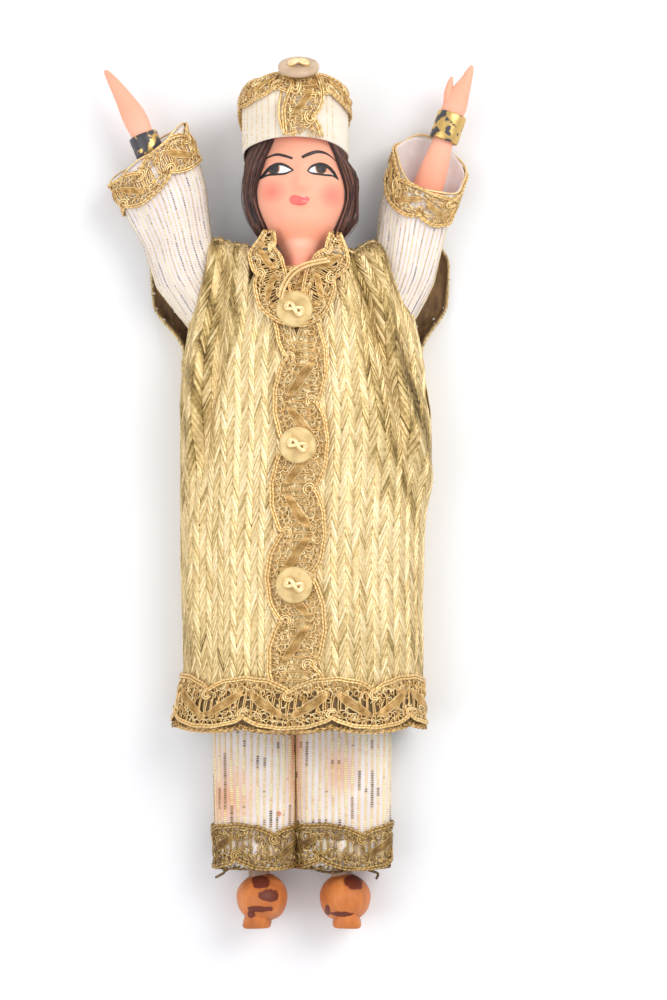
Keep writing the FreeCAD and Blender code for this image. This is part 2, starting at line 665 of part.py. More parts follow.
def make_forearm(name):
    """Forearm and pointed hand in one piece, with a flat tongue at the elbow."""
    side = SIDES[name]
    half = size("lap_tongue_half")
    elbow = size("elbow_reach")
    radius = size("lap_tongue_radius")
    disc = Part.makeCylinder(radius, 2 * half, Vector(-half, elbow, 0), Vector(1, 0, 0))
    bar = Part.makeBox(2 * half, size("lap_shoulder") + 1, 2 * radius, Vector(-half, elbow, -radius))
    sections = [(side * out, along, 0, across, through)
                for along, out, across, through in ARM_SECTIONS[name]["hand"]]
    start = elbow + size("lap_shoulder")
    wrist = sections[0][1] + 1
    shaft = Part.makeCylinder(size("forearm_radius"), wrist - start, Vector(0, start, 0), Vector(0, 1, 0))
    arm = disc.fuse(bar).fuse(shaft).fuse(ellipse_loft(sections))
    if name == "left":
        thumb = Part.makeCone(1.6, 0.6, 9, Vector(-1.6, 69.5, 0.2), Vector(-0.12, 1, 0.06))
        arm = arm.fuse(thumb)
    bore = Part.makeCylinder(size("lap_pin_radius") + size("fit_gap"), 6, Vector(-3, elbow, 0), Vector(1, 0, 0))
    keep_shape(f"{name}_forearm", arm.cut(bore), arm_placement(name))


def make_bracelet(name):
    start = f"{name}_wrist - bracelet_length / 2"
    outer = rod(f"{name}_bracelet_outer", "forearm_radius + 0.3 + bracelet_thickness", "bracelet_length",
                ("0", start, "0"), "y")
    inner = rod(f"{name}_bracelet_inner", "forearm_radius + 0.3", "bracelet_length + 2",
                ("0", f"{start} - 1", "0"), "y")
    ring = carve(f"{name}_bracelet_cut", outer, [inner])
    keep(f"{name}_bracelet", pose_arm(ring, name))


def make_sleeve(name):
    """A loose sleeve tube and the lace band round its opening."""
    side = SIDES[name]
    cloth = size("lace_thickness")
    sections = ARM_SECTIONS[name]["sleeve"]
    outer = ellipse_loft([(side * out, along, 0, across, through) for along, out, across, through in sections])
    inner = ellipse_loft([(side * out, along + (-1 if index == 0 else 1), 0, across - cloth, through - cloth)
                          for index, (along, out, across, through) in enumerate(sections)])
    tube = outer.cut(inner)
    in_plane, forward = ARM_SECTIONS[name]["lean"]

    def beyond(along):
        box = Part.makeBox(120, 80, 120, Vector(-60, 0, -60))
        box.rotate(Vector(), Vector(0, 0, 1), -side * in_plane)
        box.rotate(Vector(), Vector(1, 0, 0), forward)
        box.translate(Vector(0, along, 0))
        return box

    seam, rim = {"right": (45.0, 56.8), "left": (37.0, 49.0)}[name]
    keep_shape(f"{name}_sleeve", tube.cut(beyond(seam)), arm_placement(name))
    keep_shape(f"{name}_sleeve_lace", tube.common(beyond(seam + 0.3)).cut(beyond(rim)), arm_placement(name))


# ---- legs --------------------------------------------------------------------

def pose_leg(thing, name):
    place(thing, (f"{SIDES[name]} * hip_x", "hip_y", "body_axis_height"))
    return thing


def make_thigh(name):
    top = dome(f"{name}_thigh_top", "thigh_radius", ("0", "0", "0"), 1)
    dowel = rod(f"{name}_thigh_dowel", "thigh_radius", "knee_reach", ("0", "-knee_reach", "0"), "y")
    end = dome(f"{name}_thigh_end", "thigh_radius", ("0", "-knee_reach", "0"), -1)
    bore = rod(f"{name}_hip_bore", "pin_radius + fit_gap", "12", ("-6", "0", "0"), "x")
    slot = block(f"{name}_knee_slot", ("2 * (lap_tongue_half + slot_gap)", "12", "12"),
                 ("-(lap_tongue_half + slot_gap)", "4.4 - 12 - knee_reach", "-6"))
    hole = rod(f"{name}_knee_hole", "lap_pin_radius", "2 * thigh_radius - 0.4",
               ("0.2 - thigh_radius", "-knee_reach", "0"), "x")
    thigh = carve(f"{name}_thigh_cut", join(f"{name}_thigh_join", [top, dowel, end]), [bore, slot, hole])
    keep(f"{name}_thigh", pose_leg(thigh, name))
    keep(f"{name}_knee_pin", rod(f"{name}_knee_rod", "lap_pin_radius", "2 * thigh_radius - 0.6",
                                 (f"{SIDES[name]} * hip_x + 0.3 - thigh_radius", "hip_y - knee_reach",
                                  "body_axis_height"), "x"))


def make_shin(name):
    disc = rod(f"{name}_shin_disc", "lap_tongue_radius", "2 * lap_tongue_half",
               ("-lap_tongue_half", "-knee_reach", "0"), "x")
    bar = block(f"{name}_shin_bar", ("2 * lap_tongue_half", "lap_shoulder + 1", "2 * lap_tongue_radius"),
                ("-lap_tongue_half", "-knee_reach - lap_shoulder - 1", "-lap_tongue_radius"))
    dowel = rod(f"{name}_shin_dowel", "shin_radius", "ankle_reach - knee_reach - lap_shoulder",
                ("0", "-ankle_reach", "0"), "y")
    bore = rod(f"{name}_knee_bore", "lap_pin_radius + fit_gap", "6", ("-3", "-knee_reach", "0"), "x")
    shin = carve(f"{name}_shin_cut", join(f"{name}_shin_join", [disc, bar, dowel]), [bore])
    keep(f"{name}_shin", pose_leg(shin, name))


def stadium_bar(name, half_width, half_depth, length, start):
    """A bar along +Y whose section is a flat-sided oval."""
    flat = f"({half_width} - {half_depth})"
    low = f"-{half_depth}"
    middle = block(f"{name}_middle", (f"2 * {flat}", length, f"2 * {half_depth}"), (f"-{flat}", start, low))
    ends = [rod(f"{name}_end_{end}", half_depth, length, (f"{sign} * {flat}", start, "0"), "y")
            for end, sign in SIDES.items()]
    return join(f"{name}_oval", [middle] + ends)


def oval_tube(name, half_width, half_depth, length, start):
    outer = stadium_bar(f"{name}_outer", half_width, half_depth, length, start)
    inner = stadium_bar(f"{name}_inner", f"({half_width} - lace_thickness)", f"({half_depth} - lace_thickness)",
                        f"{length} + 2", f"{start} - 1")
    return carve(f"{name}_tube", outer, [inner])


def make_trousers(name):
    leg = oval_tube(f"{name}_trouser", "trouser_half_width", "trouser_half_depth",
                    "trouser_end - trouser_top", "-trouser_end")
    keep(f"{name}_trouser_leg", pose_leg(leg, name))
    lace = oval_tube(f"{name}_trouser_lace", "(trouser_half_width + 0.5)", "(trouser_half_depth + 0.5)",
                     "trouser_lace_length - 0.3", "-trouser_end - trouser_lace_length")
    keep(f"{name}_trouser_lace", pose_leg(lace, name))


def make_shoe(name):
    tall = size("shoe_half_height")
    sole = math.degrees(math.asin(size("sole_thickness") / tall - 1))
    bulb = egg(Vector(0, -size("shoe_reach"), 0), size("shoe_half_width"), tall, size("shoe_half_length"), sole, 62)
    socket = Part.makeCylinder(size("shin_radius") + size("fit_gap"), 20,
                               Vector(0, -size("ankle_reach") - 0.2, 0), Vector(0, 1, 0))
    ankle = Vector(SIDES[name] * size("hip_x"), size("hip_y"), size("body_axis_height"))
    keep_shape(f"{name}_shoe", bulb.cut(socket), Placement(ankle, Rotation()))
    start = "-shoe_reach - shoe_half_height"
    tread = block(f"{name}_sole_middle", ("8.4", "sole_thickness", "9"), ("-4.2", start, "-5"))
    ends = [rod(f"{name}_sole_{end}", "4.2", "sole_thickness", ("0", start, height), "y")
            for end, height in (("heel", "-5"), ("toe", "4"))]
    keep(f"{name}_shoe_sole", pose_leg(join(f"{name}_sole_join", [tread] + ends), name))


# ---- the whole puppet ----------------------------------------------------------

make_torso()
make_torso_pins()
make_robe()
make_hem_lace()
make_front_lace()
make_coat_buttons()
make_neck_peg()
make_head()
make_cap()
make_cap_button()
for arm in SIDES:
    make_upper_arm(arm)
    make_forearm(arm)
    make_bracelet(arm)
    make_sleeve(arm)
for leg in SIDES:
    make_thigh(leg)
    make_shin(leg)
    make_trousers(leg)
    make_shoe(leg)
doc.recompute()

for item in doc.Objects:
    if {"Invalid", "Error"} & set(item.State):
        raise RuntimeError(f"{item.Name} did not build: {item.State}")
for item in subparts:
    if item.Shape.isNull() or not item.Shape.isValid():
        raise RuntimeError(f"{item.Label} has a bad shape")

for item in subparts:
    box = item.Shape.BoundBox
    print(f"{item.Label:24s} solids {len(item.Shape.Solids)}  volume {item.Shape.Volume:9.1f}  "
          f"x {box.XMin:7.1f} {box.XMax:7.1f}  y {box.YMin:7.1f} {box.YMax:7.1f}  z {box.ZMin:6.1f} {box.ZMax:6.1f}")
    item.Shape.exportStep(f"parts/{item.Label}.step")
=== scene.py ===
"""Looks of the marionette puppet: braided gold robe, lace, striped cloth, doll's head, hands and shoes.

Lengths are in millimetres until a mesh is made, where MM turns them into metres.
"""
import json
import math

import bpy
import numpy as np
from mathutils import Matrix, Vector


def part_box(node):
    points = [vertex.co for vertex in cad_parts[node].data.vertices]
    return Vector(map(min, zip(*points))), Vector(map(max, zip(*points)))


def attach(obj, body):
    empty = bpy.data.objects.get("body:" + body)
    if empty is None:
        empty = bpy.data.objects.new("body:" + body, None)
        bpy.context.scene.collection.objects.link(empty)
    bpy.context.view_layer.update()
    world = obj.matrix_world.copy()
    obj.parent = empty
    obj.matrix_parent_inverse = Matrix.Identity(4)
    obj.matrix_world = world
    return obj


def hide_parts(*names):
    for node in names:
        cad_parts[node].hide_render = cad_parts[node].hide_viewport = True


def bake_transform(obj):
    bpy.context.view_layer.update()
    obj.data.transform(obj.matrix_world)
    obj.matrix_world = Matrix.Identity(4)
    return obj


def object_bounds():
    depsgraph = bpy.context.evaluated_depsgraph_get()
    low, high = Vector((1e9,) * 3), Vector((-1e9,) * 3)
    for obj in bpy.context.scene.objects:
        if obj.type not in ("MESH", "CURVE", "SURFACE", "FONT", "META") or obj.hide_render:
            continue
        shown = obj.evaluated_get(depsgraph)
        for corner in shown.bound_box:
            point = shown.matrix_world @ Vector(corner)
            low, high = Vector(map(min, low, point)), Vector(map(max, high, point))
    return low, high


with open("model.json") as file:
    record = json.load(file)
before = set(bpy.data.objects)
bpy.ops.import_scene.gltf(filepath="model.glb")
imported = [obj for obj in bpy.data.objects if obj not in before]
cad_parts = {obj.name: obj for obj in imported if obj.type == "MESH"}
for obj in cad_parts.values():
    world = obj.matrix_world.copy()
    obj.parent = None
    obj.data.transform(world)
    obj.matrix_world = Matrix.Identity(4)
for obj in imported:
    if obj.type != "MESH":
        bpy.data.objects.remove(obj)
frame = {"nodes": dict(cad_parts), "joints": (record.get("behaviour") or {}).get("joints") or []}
cad_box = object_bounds()

MM = 0.001
rng = np.random.default_rng(11)
JOINTS = {joint["name"]: joint for joint in frame["joints"]}
SIDES = {"right": -1, "left": 1}
UP = np.array([0.0, 0.0, 1.0])
CLOTH = 0.3  # thickness of every sewn cloth
PAINT = 0.12  # thickness of the painted eyes and lips


# ---------------------------------------------------------------- small maths

def unit(vectors):
    """The same directions, one long."""
    length = np.linalg.norm(vectors, axis=-1, keepdims=True)
    return vectors / np.maximum(length, 1e-9)


def smooth(value, low, high):
    """0 below low, 1 above high, and an even turn between them."""
    share = np.clip((value - low) / (high - low), 0, 1)
    return share * share * (3 - 2 * share)


def ramp(value, table):
    """Reads a short table of (place, size) pairs."""
    places, sizes = zip(*table)
    return np.interp(value, places, sizes)


def curve_through(points, count):
    """A smooth line of count points through a few points, evenly spaced along it."""
    points = np.asarray(points, float)
    padded = np.vstack([2 * points[0] - points[1], points, 2 * points[-1] - points[-2]])
    pieces = []
    for i in range(len(points) - 1):
        a, b, c, d = padded[i:i + 4]
        t = np.linspace(0, 1, 24, endpoint=False)[:, None]
        pieces.append(0.5 * (2 * b + (c - a) * t + (2 * a - 5 * b + 4 * c - d) * t ** 2
                             + (3 * b - a - 3 * c + d) * t ** 3))
    line = np.vstack(pieces + [points[-1:]])
    return evenly(line, count)


def evenly(line, count):
    """The same line with count points at equal distances."""
    step = np.linalg.norm(np.diff(line, axis=0), axis=1)
    run = np.concatenate([[0], np.cumsum(step)])
    wanted = np.linspace(0, run[-1], count)
    return np.stack([np.interp(wanted, run, line[:, k]) for k in range(line.shape[1])], axis=1)


def box_mm(node):
    """Low and high corner of a CAD node."""
    low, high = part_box(node)
    return np.array(low) / MM, np.array(high) / MM


def middle(node):
    """Middle of a CAD node's box."""
    low, high = box_mm(node)
    return (low + high) / 2


# ---------------------------------------------------------------- materials

def nodes_of(name):
    """A new material with its node tree and its shader."""
    mat = bpy.data.materials.new(name)
    mat.use_nodes = True
    tree = mat.node_tree
    return mat, tree, tree.nodes["Principled BSDF"]


def colour(value):
    """A colour with full cover."""
    return (*value, 1.0)


def place_nodes(tree):
    """The place on the object, in metres."""
    return tree.nodes.new("ShaderNodeTexCoord").outputs["Object"]


def noise_node(tree, scale, detail=3.0, stretch=None):
    """Noise from 0 to 1, finer with a larger scale."""
    node = tree.nodes.new("ShaderNodeTexNoise")
    node.inputs["Scale"].default_value = scale
    node.inputs["Detail"].default_value = detail
    if stretch is None:
        tree.links.new(place_nodes(tree), node.inputs["Vector"])
        return node.outputs["Fac"]
    mapping = tree.nodes.new("ShaderNodeMapping")
    mapping.inputs["Scale"].default_value = stretch
    tree.links.new(place_nodes(tree), mapping.inputs["Vector"])
    tree.links.new(mapping.outputs["Vector"], node.inputs["Vector"])
    return node.outputs["Fac"]


def ramp_node(tree, source, stops):
    """Colours from (place, colour) stops, read at source."""
    node = tree.nodes.new("ShaderNodeValToRGB")
    elements = node.color_ramp.elements
    for index, (place, value) in enumerate(stops):
        element = elements[index] if index < 2 else elements.new(place)
        element.position = place
        element.color = colour(value)
    tree.links.new(source, node.inputs["Fac"])
    return node.outputs["Color"]


def mix_node(tree, share, first, second):
    """A mix of two colours, each a value or a node."""
    node = tree.nodes.new("ShaderNodeMix")
    node.data_type = "RGBA"
    for socket, source in (("Factor", share), ("A", first), ("B", second)):
        if isinstance(source, (tuple, float)):
            node.inputs[socket].default_value = colour(source) if isinstance(source, tuple) else source
        else:
            tree.links.new(source, node.inputs[socket])
    return node.outputs["Result"]


def maths(tree, operation, first, second=0.0):
    """One sum on two values, each a number or a node."""
    node = tree.nodes.new("ShaderNodeMath")
    node.operation = operation
    for socket, source in zip(node.inputs, (first, second)):
        if isinstance(source, (int, float)):
            socket.default_value = source
        else:
            tree.links.new(source, socket)
    return node.outputs[0]


def dress(tree, shader, base, settings):
    """Gives the shader its colour and its other settings."""
    tree.links.new(base, shader.inputs["Base Color"])
    for name, value in settings.items():
        shader.inputs[name].default_value = value


def bump(tree, shader, height, strength, distance):
    """Small dents from a height node."""
    node = tree.nodes.new("ShaderNodeBump")
    node.inputs["Strength"].default_value = strength
    node.inputs["Distance"].default_value = distance
    tree.links.new(height, node.inputs["Height"])
    tree.links.new(node.outputs["Normal"], shader.inputs["Normal"])


def near(tree, centre, reach):
    """1 at a place in the object's own millimetres, falling to 0 at reach (x, y, z) from it."""
    mapping = tree.nodes.new("ShaderNodeMapping")
    mapping.inputs["Scale"].default_value = [1 / (r * MM) for r in reach]
    mapping.inputs["Location"].default_value = [-c / r for c, r in zip(centre, reach)]
    tree.links.new(place_nodes(tree), mapping.inputs["Vector"])
    length = tree.nodes.new("ShaderNodeVectorMath")
    length.operation = "LENGTH"
    tree.links.new(mapping.outputs["Vector"], length.inputs[0])
    return maths(tree, "SUBTRACT", 1.0, length.outputs["Value"])


def thread_material(name, stops, metallic, roughness, grain=900.0):
    """Metal-wrapped thread: each strand's own tone runs through a ramp, with fine mottling on top."""
    mat, tree, shader = nodes_of(name)
    tone = tree.nodes.new("ShaderNodeAttribute")
    tone.attribute_name = "tone"
    mottle = maths(tree, "MULTIPLY", maths(tree, "SUBTRACT", noise_node(tree, grain), 0.5), 0.55)
    total = maths(tree, "ADD", tone.outputs["Fac"], mottle)
    dress(tree, shader, ramp_node(tree, total, stops), {"Metallic": metallic, "Roughness": roughness})
    bump(tree, shader, noise_node(tree, grain * 3, 2.0), 0.35, 0.00012)
    return mat


def cloth_material(name, light, shade, stain=None, stain_places=()):
    """Fine white voile: woven bump, faint shade changes and a few stains."""
    mat, tree, shader = nodes_of(name)
    base = ramp_node(tree, noise_node(tree, 140.0), [(0.35, shade), (0.65, light)])
    for centre, reach in stain_places:
        spread = maths(tree, "MULTIPLY", near(tree, centre, reach), noise_node(tree, 90.0))
        base = mix_node(tree, maths(tree, "MULTIPLY", spread, 1.8), base, stain)
    specks = ramp_node(tree, noise_node(tree, 420.0, 1.0), [(0.775, (0, 0, 0)), (0.80, (1, 1, 1))])
    base = mix_node(tree, specks, base, (0.75, 0.30, 0.20))
    dress(tree, shader, base, {"Roughness": 0.85, "Sheen Weight": 0.25})
    weave = tree.nodes.new("ShaderNodeTexWave")
    weave.inputs["Scale"].default_value = 900.0
    weave.inputs["Distortion"].default_value = 1.5
    tree.links.new(place_nodes(tree), weave.inputs["Vector"])
    bump(tree, shader, weave.outputs["Fac"], 0.25, 0.0001)
    return mat


def plain_material(name, stops, scale, roughness, metallic=0.0, bumpiness=0.15, stretch=None):
    """Noise between a few colours, with a matching bump."""
    mat, tree, shader = nodes_of(name)
    grain = noise_node(tree, scale, 5.0, stretch)
    dress(tree, shader, ramp_node(tree, grain, stops), {"Roughness": roughness, "Metallic": metallic})
    bump(tree, shader, grain, bumpiness, 0.0003)
    return mat


def mottle(dark, light):
    """Stops for two colours that run into each other."""
    return [(0.3, dark), (0.7, light)]


def skin_material(name, places):
    """Peach vinyl with patches mixed over it from places: airbrushed blush, painted shade and painted
    highlights.
    """
    mat, tree, shader = nodes_of(name)
    base = ramp_node(tree, noise_node(tree, 60.0), mottle((0.94, 0.405, 0.27), (0.97, 0.445, 0.30)))
    for centre, reach, value in places:
        share = maths(tree, "MAXIMUM", near(tree, centre, reach), 0.0)
        base = mix_node(tree, maths(tree, "POWER", share, 0.8), base, value)
    dress(tree, shader, base, {"Roughness": 0.5, "Specular IOR Level": 0.3, "Subsurface Weight": 0.2,
                               "Subsurface Radius": (0.004, 0.0015, 0.001)})
    bump(tree, shader, noise_node(tree, 500.0, 2.0), 0.05, 0.0001)
    return mat


def bracelet_material(name, gold_share):
    """Black patent strip with worn gold leaf."""
    mat, tree, shader = nodes_of(name)
    flakes = noise_node(tree, 330.0, 6.0)
    mask = ramp_node(tree, flakes, [(gold_share, (1, 1, 1)), (gold_share + 0.05, (0, 0, 0))])
    base = mix_node(tree, mask, (0.055, 0.052, 0.06), (0.72, 0.48, 0.17))
    dress(tree, shader, base, {"Roughness": 0.38})
    tree.links.new(mask, shader.inputs["Metallic"])
    bump(tree, shader, flakes, 0.4, 0.0003)
    return mat


def shoe_material(name, spots):
    """Turned wood stained orange, with scorched patches."""
    mat, tree, shader = nodes_of(name)
    base = ramp_node(tree, noise_node(tree, 260.0, 6.0, (1, 0.35, 1)),
                     [(0.3, (0.44, 0.125, 0.030)), (0.55, (0.60, 0.18, 0.042)),
                      (0.75, (0.70, 0.25, 0.07))])
    edge = maths(tree, "MULTIPLY", noise_node(tree, 420.0, 4.0), 0.9)
    for centre, reach in spots:
        share = maths(tree, "SUBTRACT", near(tree, centre, reach), edge)
        mask = ramp_node(tree, maths(tree, "ADD", share, 0.45), [(0.0, (0, 0, 0)), (0.14, (1, 1, 1))])
        base = mix_node(tree, mask, base, (0.15, 0.028, 0.012))
    dress(tree, shader, base, {"Roughness": 0.5, "Specular IOR Level": 0.35})
    bump(tree, shader, noise_node(tree, 900.0, 4.0), 0.12, 0.0002)
    return mat


GOLD_CLOTH = thread_material("braid_gold", [(0.0, (0.08, 0.045, 0.012)), (0.28, (0.40, 0.27, 0.09)),
                                            (0.58, (0.79, 0.585, 0.275)),
                                            (0.95, (1.0, 0.85, 0.54))], 0.62, 0.33)
GOLD_LACE = thread_material("lace_gold", [(0.0, (0.09, 0.045, 0.012)), (0.25, (0.50, 0.28, 0.08)),
                                          (0.55, (0.84, 0.55, 0.22)),
                                          (0.9, (1.0, 0.83, 0.48))], 0.55, 0.33)
DARK_LACE = thread_material("lace_tarnished", [(0.0, (0.03, 0.02, 0.01)), (0.3, (0.22, 0.12, 0.035)),
                                               (0.65, (0.50, 0.31, 0.10)),
                                               (1.0, (0.90, 0.68, 0.32))], 0.5, 0.38)
LUREX = thread_material("lurex", [(0.0, (0.13, 0.09, 0.03)), (0.3, (0.55, 0.38, 0.14)),
                                  (0.65, (0.97, 0.68, 0.27)), (1.0, (1.0, 0.90, 0.54))], 0.12, 0.35)
HAIR = thread_material("hair_brown", [(0.0, (0.012, 0.005, 0.005)), (0.5, (0.070, 0.027, 0.020)),
                                      (1.0, (0.23, 0.095, 0.06))], 0.0, 0.5)
# Dark brown cloth under the braid and the hem lace: painted shade that shows in the gaps between strands.
GAP_SHADE = plain_material("robe_gap_shade", mottle((0.13, 0.075, 0.03), (0.30, 0.19, 0.08)), 700.0, 0.7)
SLEEVE = cloth_material("voile", (0.84, 0.77, 0.75), (0.76, 0.68, 0.66))
TROUSER = cloth_material("voile_stained", (0.84, 0.76, 0.74), (0.76, 0.67, 0.65), (0.72, 0.33, 0.18),
                         [((-24, -88, 14), (13, 15, 20)), ((-1.5, -80, 14), (3.5, 40, 14)),
                          ((12, -80, 16), (7, 12, 10))])
CAP_CLOTH = cloth_material("cap_cream", (0.86, 0.78, 0.66), (0.79, 0.69, 0.56))
WOOD = plain_material("dowel_wood", [(0.3, (0.26, 0.15, 0.10)), (0.5, (0.40, 0.25, 0.17)),
                                     (0.75, (0.52, 0.35, 0.25))],
                      160.0, 0.55, stretch=(3, 0.25, 3))
STEEL = plain_material("wire_steel", mottle((0.35, 0.35, 0.36), (0.62, 0.62, 0.64)), 800.0, 0.3, 1.0)
BUTTON = plain_material("button_tan", [(0.3, (0.52, 0.36, 0.14)), (0.5, (0.71, 0.51, 0.22)),
                                       (0.72, (0.79, 0.60, 0.29))],
                        330.0, 0.45, bumpiness=0.12)
CAP_BUTTON = plain_material("button_pinkish", [(0.3, (0.44, 0.29, 0.17)), (0.6, (0.60, 0.43, 0.28))],
                            260.0, 0.4)
INK = plain_material("painted_black", mottle((0.012, 0.008, 0.009), (0.022, 0.015, 0.015)), 200.0, 0.45)
EYE_WHITE = plain_material("painted_white", mottle((0.86, 0.84, 0.84), (0.92, 0.90, 0.90)), 300.0, 0.3)
IRIS = plain_material("painted_iris", mottle((0.012, 0.011, 0.014), (0.05, 0.04, 0.04)), 900.0, 0.25)
IRIS_BROWN = plain_material("painted_iris_brown", mottle((0.40, 0.14, 0.05), (0.60, 0.25, 0.10)), 900.0, 0.3)
LIPS = plain_material("painted_lips", mottle((0.88, 0.11, 0.09), (0.88, 0.18, 0.16)), 130.0, 0.3)
LIP_LINE = plain_material("painted_lip_line", mottle((0.80, 0.16, 0.14), (0.86, 0.26, 0.24)), 300.0, 0.3)
LIP_SHINE = plain_material("painted_lip_shine", mottle((0.95, 0.46, 0.44), (0.97, 0.56, 0.54)), 300.0, 0.3)


# ---------------------------------------------------------------- meshes

def add_piece(name, vertices, faces, material, body, tone=None):
    """A mesh object in metres that rides on a body."""
    mesh = bpy.data.meshes.new(name)
    mesh.from_pydata((np.asarray(vertices) * MM).tolist(), [], faces)
    if tone is not None:
        tones = mesh.attributes.new("tone", "FLOAT", "POINT")
        tones.data.foreach_set("value", np.asarray(tone, np.float32))
    mesh.polygons.foreach_set("use_smooth", [True] * len(mesh.polygons))
    mesh.materials.append(material)
    mesh.update()
    piece = bpy.data.objects.new(name, mesh)
    bpy.context.scene.collection.objects.link(piece)
    if body is not None:
        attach(piece, body)
    return piece


class Strands:
    """Gathers thin round or flat threads into one mesh."""

    def __init__(self):
        self.vertices = []
        self.faces = []
        self.tones = []
        self.count = 0

    def add(self, paths, radius, up=None, tone=0.5, sides=4, flat=1.0, taper=0.5):
        paths = np.asarray(paths, float)
        if paths.ndim == 2:
            paths = paths[None]
        number, steps, _ = paths.shape
        tangent = unit(np.gradient(paths, axis=1))
        reference = np.broadcast_to(np.array([0.31, 0.17, 0.93]) if up is None else up, paths.shape)
        side = unit(np.cross(tangent, reference))
        lift = np.cross(side, tangent)
        ends = np.ones(steps)
        ends[0] = ends[-1] = taper
        thick = np.broadcast_to(np.asarray(radius, float).reshape(-1, 1), (number, steps)) * ends
        angle = np.arange(sides) * 2 * np.pi / sides + np.pi / sides
        sideways = np.cos(angle)[:, None] * side[:, :, None]
        upward = flat * np.sin(angle)[:, None] * lift[:, :, None]
        ring = paths[:, :, None] + thick[:, :, None, None] * (sideways + upward)
        self.vertices.append(ring.reshape(-1, 3))
        tone = np.asarray(tone, float)
        tone = tone.reshape(-1, 1) if tone.ndim < 2 else tone
        self.tones.append(np.repeat(np.broadcast_to(tone, (number, steps)).reshape(-1), sides))
        first = np.arange(steps - 1)[:, None] * sides + np.arange(sides)
        turned = np.arange(steps - 1)[:, None] * sides + (np.arange(sides) + 1) % sides
        quads = np.stack([first, first + sides, turned + sides, turned], axis=-1).reshape(-1, 4)
        start = self.count + np.arange(number) * steps * sides
        self.faces += (quads[None] + start[:, None, None]).reshape(-1, 4).tolist()
        cap = np.arange(sides)
        self.faces += (cap[None] + start[:, None]).tolist()
        self.faces += (cap[::-1][None] + (steps - 1) * sides + start[:, None]).tolist()
        self.count += number * steps * sides

    def piece(self, name, material, body, slot):
        vertices, tones = np.vstack(self.vertices), np.concatenate(self.tones)
        return add_piece(name, vertices, self.faces, material, body, tones)


class Skin:
    """A surface held as rows of points, read anywhere from 0 to 1 across and along."""

    def __init__(self, points, closed=False, flip=False):
        self.points = np.asarray(points, float)
        self.closed = closed
        across = np.gradient(self.points, axis=1)
        if closed:
            across[:, 0] = across[:, -1] = (self.points[:, 1] - self.points[:, -2]) / 2
        along = np.gradient(self.points, axis=0)
        self.normal = unit(np.cross(across, along)) * (-1 if flip else 1)
        self.flip = flip
        self.across_mm = np.linalg.norm(np.diff(self.points, axis=1), axis=2).sum(axis=1).mean()
        self.along_mm = np.linalg.norm(np.diff(self.points, axis=0), axis=2).sum(axis=0).mean()

    def read(self, field, across, along):
        rows, cols = field.shape[:2]
        across = np.mod(across, 1.0) if self.closed else np.clip(across, 0, 1)
        u = across * (cols - 1)
        v = np.clip(along, 0, 1) * (rows - 1)
        i = np.minimum(u.astype(int), cols - 2)
        j = np.minimum(v.astype(int), rows - 2)
        u, v = (u - i)[..., None], (v - j)[..., None]
        low = field[j, i] * (1 - u) + field[j, i + 1] * u
        high = field[j + 1, i] * (1 - u) + field[j + 1, i + 1] * u
        return low * (1 - v) + high * v

    def at(self, across, along, height=0.0):
        across, along = np.broadcast_arrays(np.asarray(across, float), np.asarray(along, float))
        height = np.broadcast_to(np.asarray(height, float), across.shape)
        raised = self.read(self.normal, across, along) * height[..., None]
        return self.read(self.points, across, along) + raised

    def up(self, across, along):
        return self.read(self.normal, np.asarray(across, float), np.asarray(along, float))

    def raised(self, height):
        return Skin(self.points + self.normal * height[..., None], self.closed, self.flip)

    def cloth(self, name, material, body, slot, thickness=CLOTH, keep=None):
        """Closed thin cloth: outer face, inner face and a rim round every edge."""
        rows, cols = self.points.shape[:2]
        wide = cols - 1 if self.closed else cols
        quads = []
        for row in range(rows - 1):
            for col in range(cols - 1):
                if keep is not None and not keep[row, col]:
                    continue
                a, b = row * wide + col, row * wide + (col + 1) % wide
                quad = (a, b, b + wide, a + wide)
                quads.append(quad[::-1] if self.flip else quad)
        edges = {(q[k], q[(k + 1) % 4]) for q in quads for k in range(4)}
        rim = [edge for edge in edges if (edge[1], edge[0]) not in edges]
        outer = self.points[:, :wide].reshape(-1, 3)
        inner = outer - self.normal[:, :wide].reshape(-1, 3) * thickness
        far = len(outer)
        faces = quads + [tuple(far + k for k in reversed(q)) for q in quads]
        faces += [(b, a, far + a, far + b) for a, b in sorted(rim)]
        used = np.unique(np.array([k for q in faces for k in q]))
        renumber = np.full(2 * far, -1)
        renumber[used] = np.arange(len(used))
        faces = [tuple(int(renumber[k]) for k in q) for q in faces]
        return add_piece(name, np.vstack([outer, inner])[used], faces, material, body)


def tube_faces(rings, sides, ends=True):
    """Faces between rings of points, and over the first and last ring."""
    faces = []
    for ring in range(rings - 1):
        for k in range(sides):
            a, b = ring * sides + k, ring * sides + (k + 1) % sides
            faces.append((a, b, b + sides, a + sides))
    if ends:
        last = (rings - 1) * sides
        faces.append(tuple(reversed(range(sides))))
        faces.append(tuple(range(last, last + sides)))
    return faces


def lathe(profile, centre, axis, sides=48):
    """Vertices and faces turned round an axis from (radius, height) pairs."""
    axis = unit(np.asarray(axis, float))
    side = unit(np.cross(axis, [0.31, 0.9, 0.2]))
    other = np.cross(axis, side)
    angle = np.arange(sides) * 2 * np.pi / sides
    ring = np.cos(angle)[:, None] * side + np.sin(angle)[:, None] * other
    vertices = np.vstack([np.asarray(centre) + ring * r + axis * h for r, h in profile])
    return vertices, tube_faces(len(profile), sides, ends=False)


def loft(sections, sides=28, power=1.0):
    """Closed skin over oval sections: (centre, half width vector, half depth vector)."""
    angle = np.arange(sides) * 2 * np.pi / sides
    cos = np.sign(np.cos(angle)) * np.abs(np.cos(angle)) ** power
    sin = np.sign(np.sin(angle)) * np.abs(np.sin(angle)) ** power
    vertices = np.vstack([np.asarray(c) + cos[:, None] * np.asarray(w) + sin[:, None] * np.asarray(d)
                          for c, w, d in sections])
    return vertices, tube_faces(len(sections), sides)


# ---------------------------------------------------------------- lace trim

PERIOD = 26.0


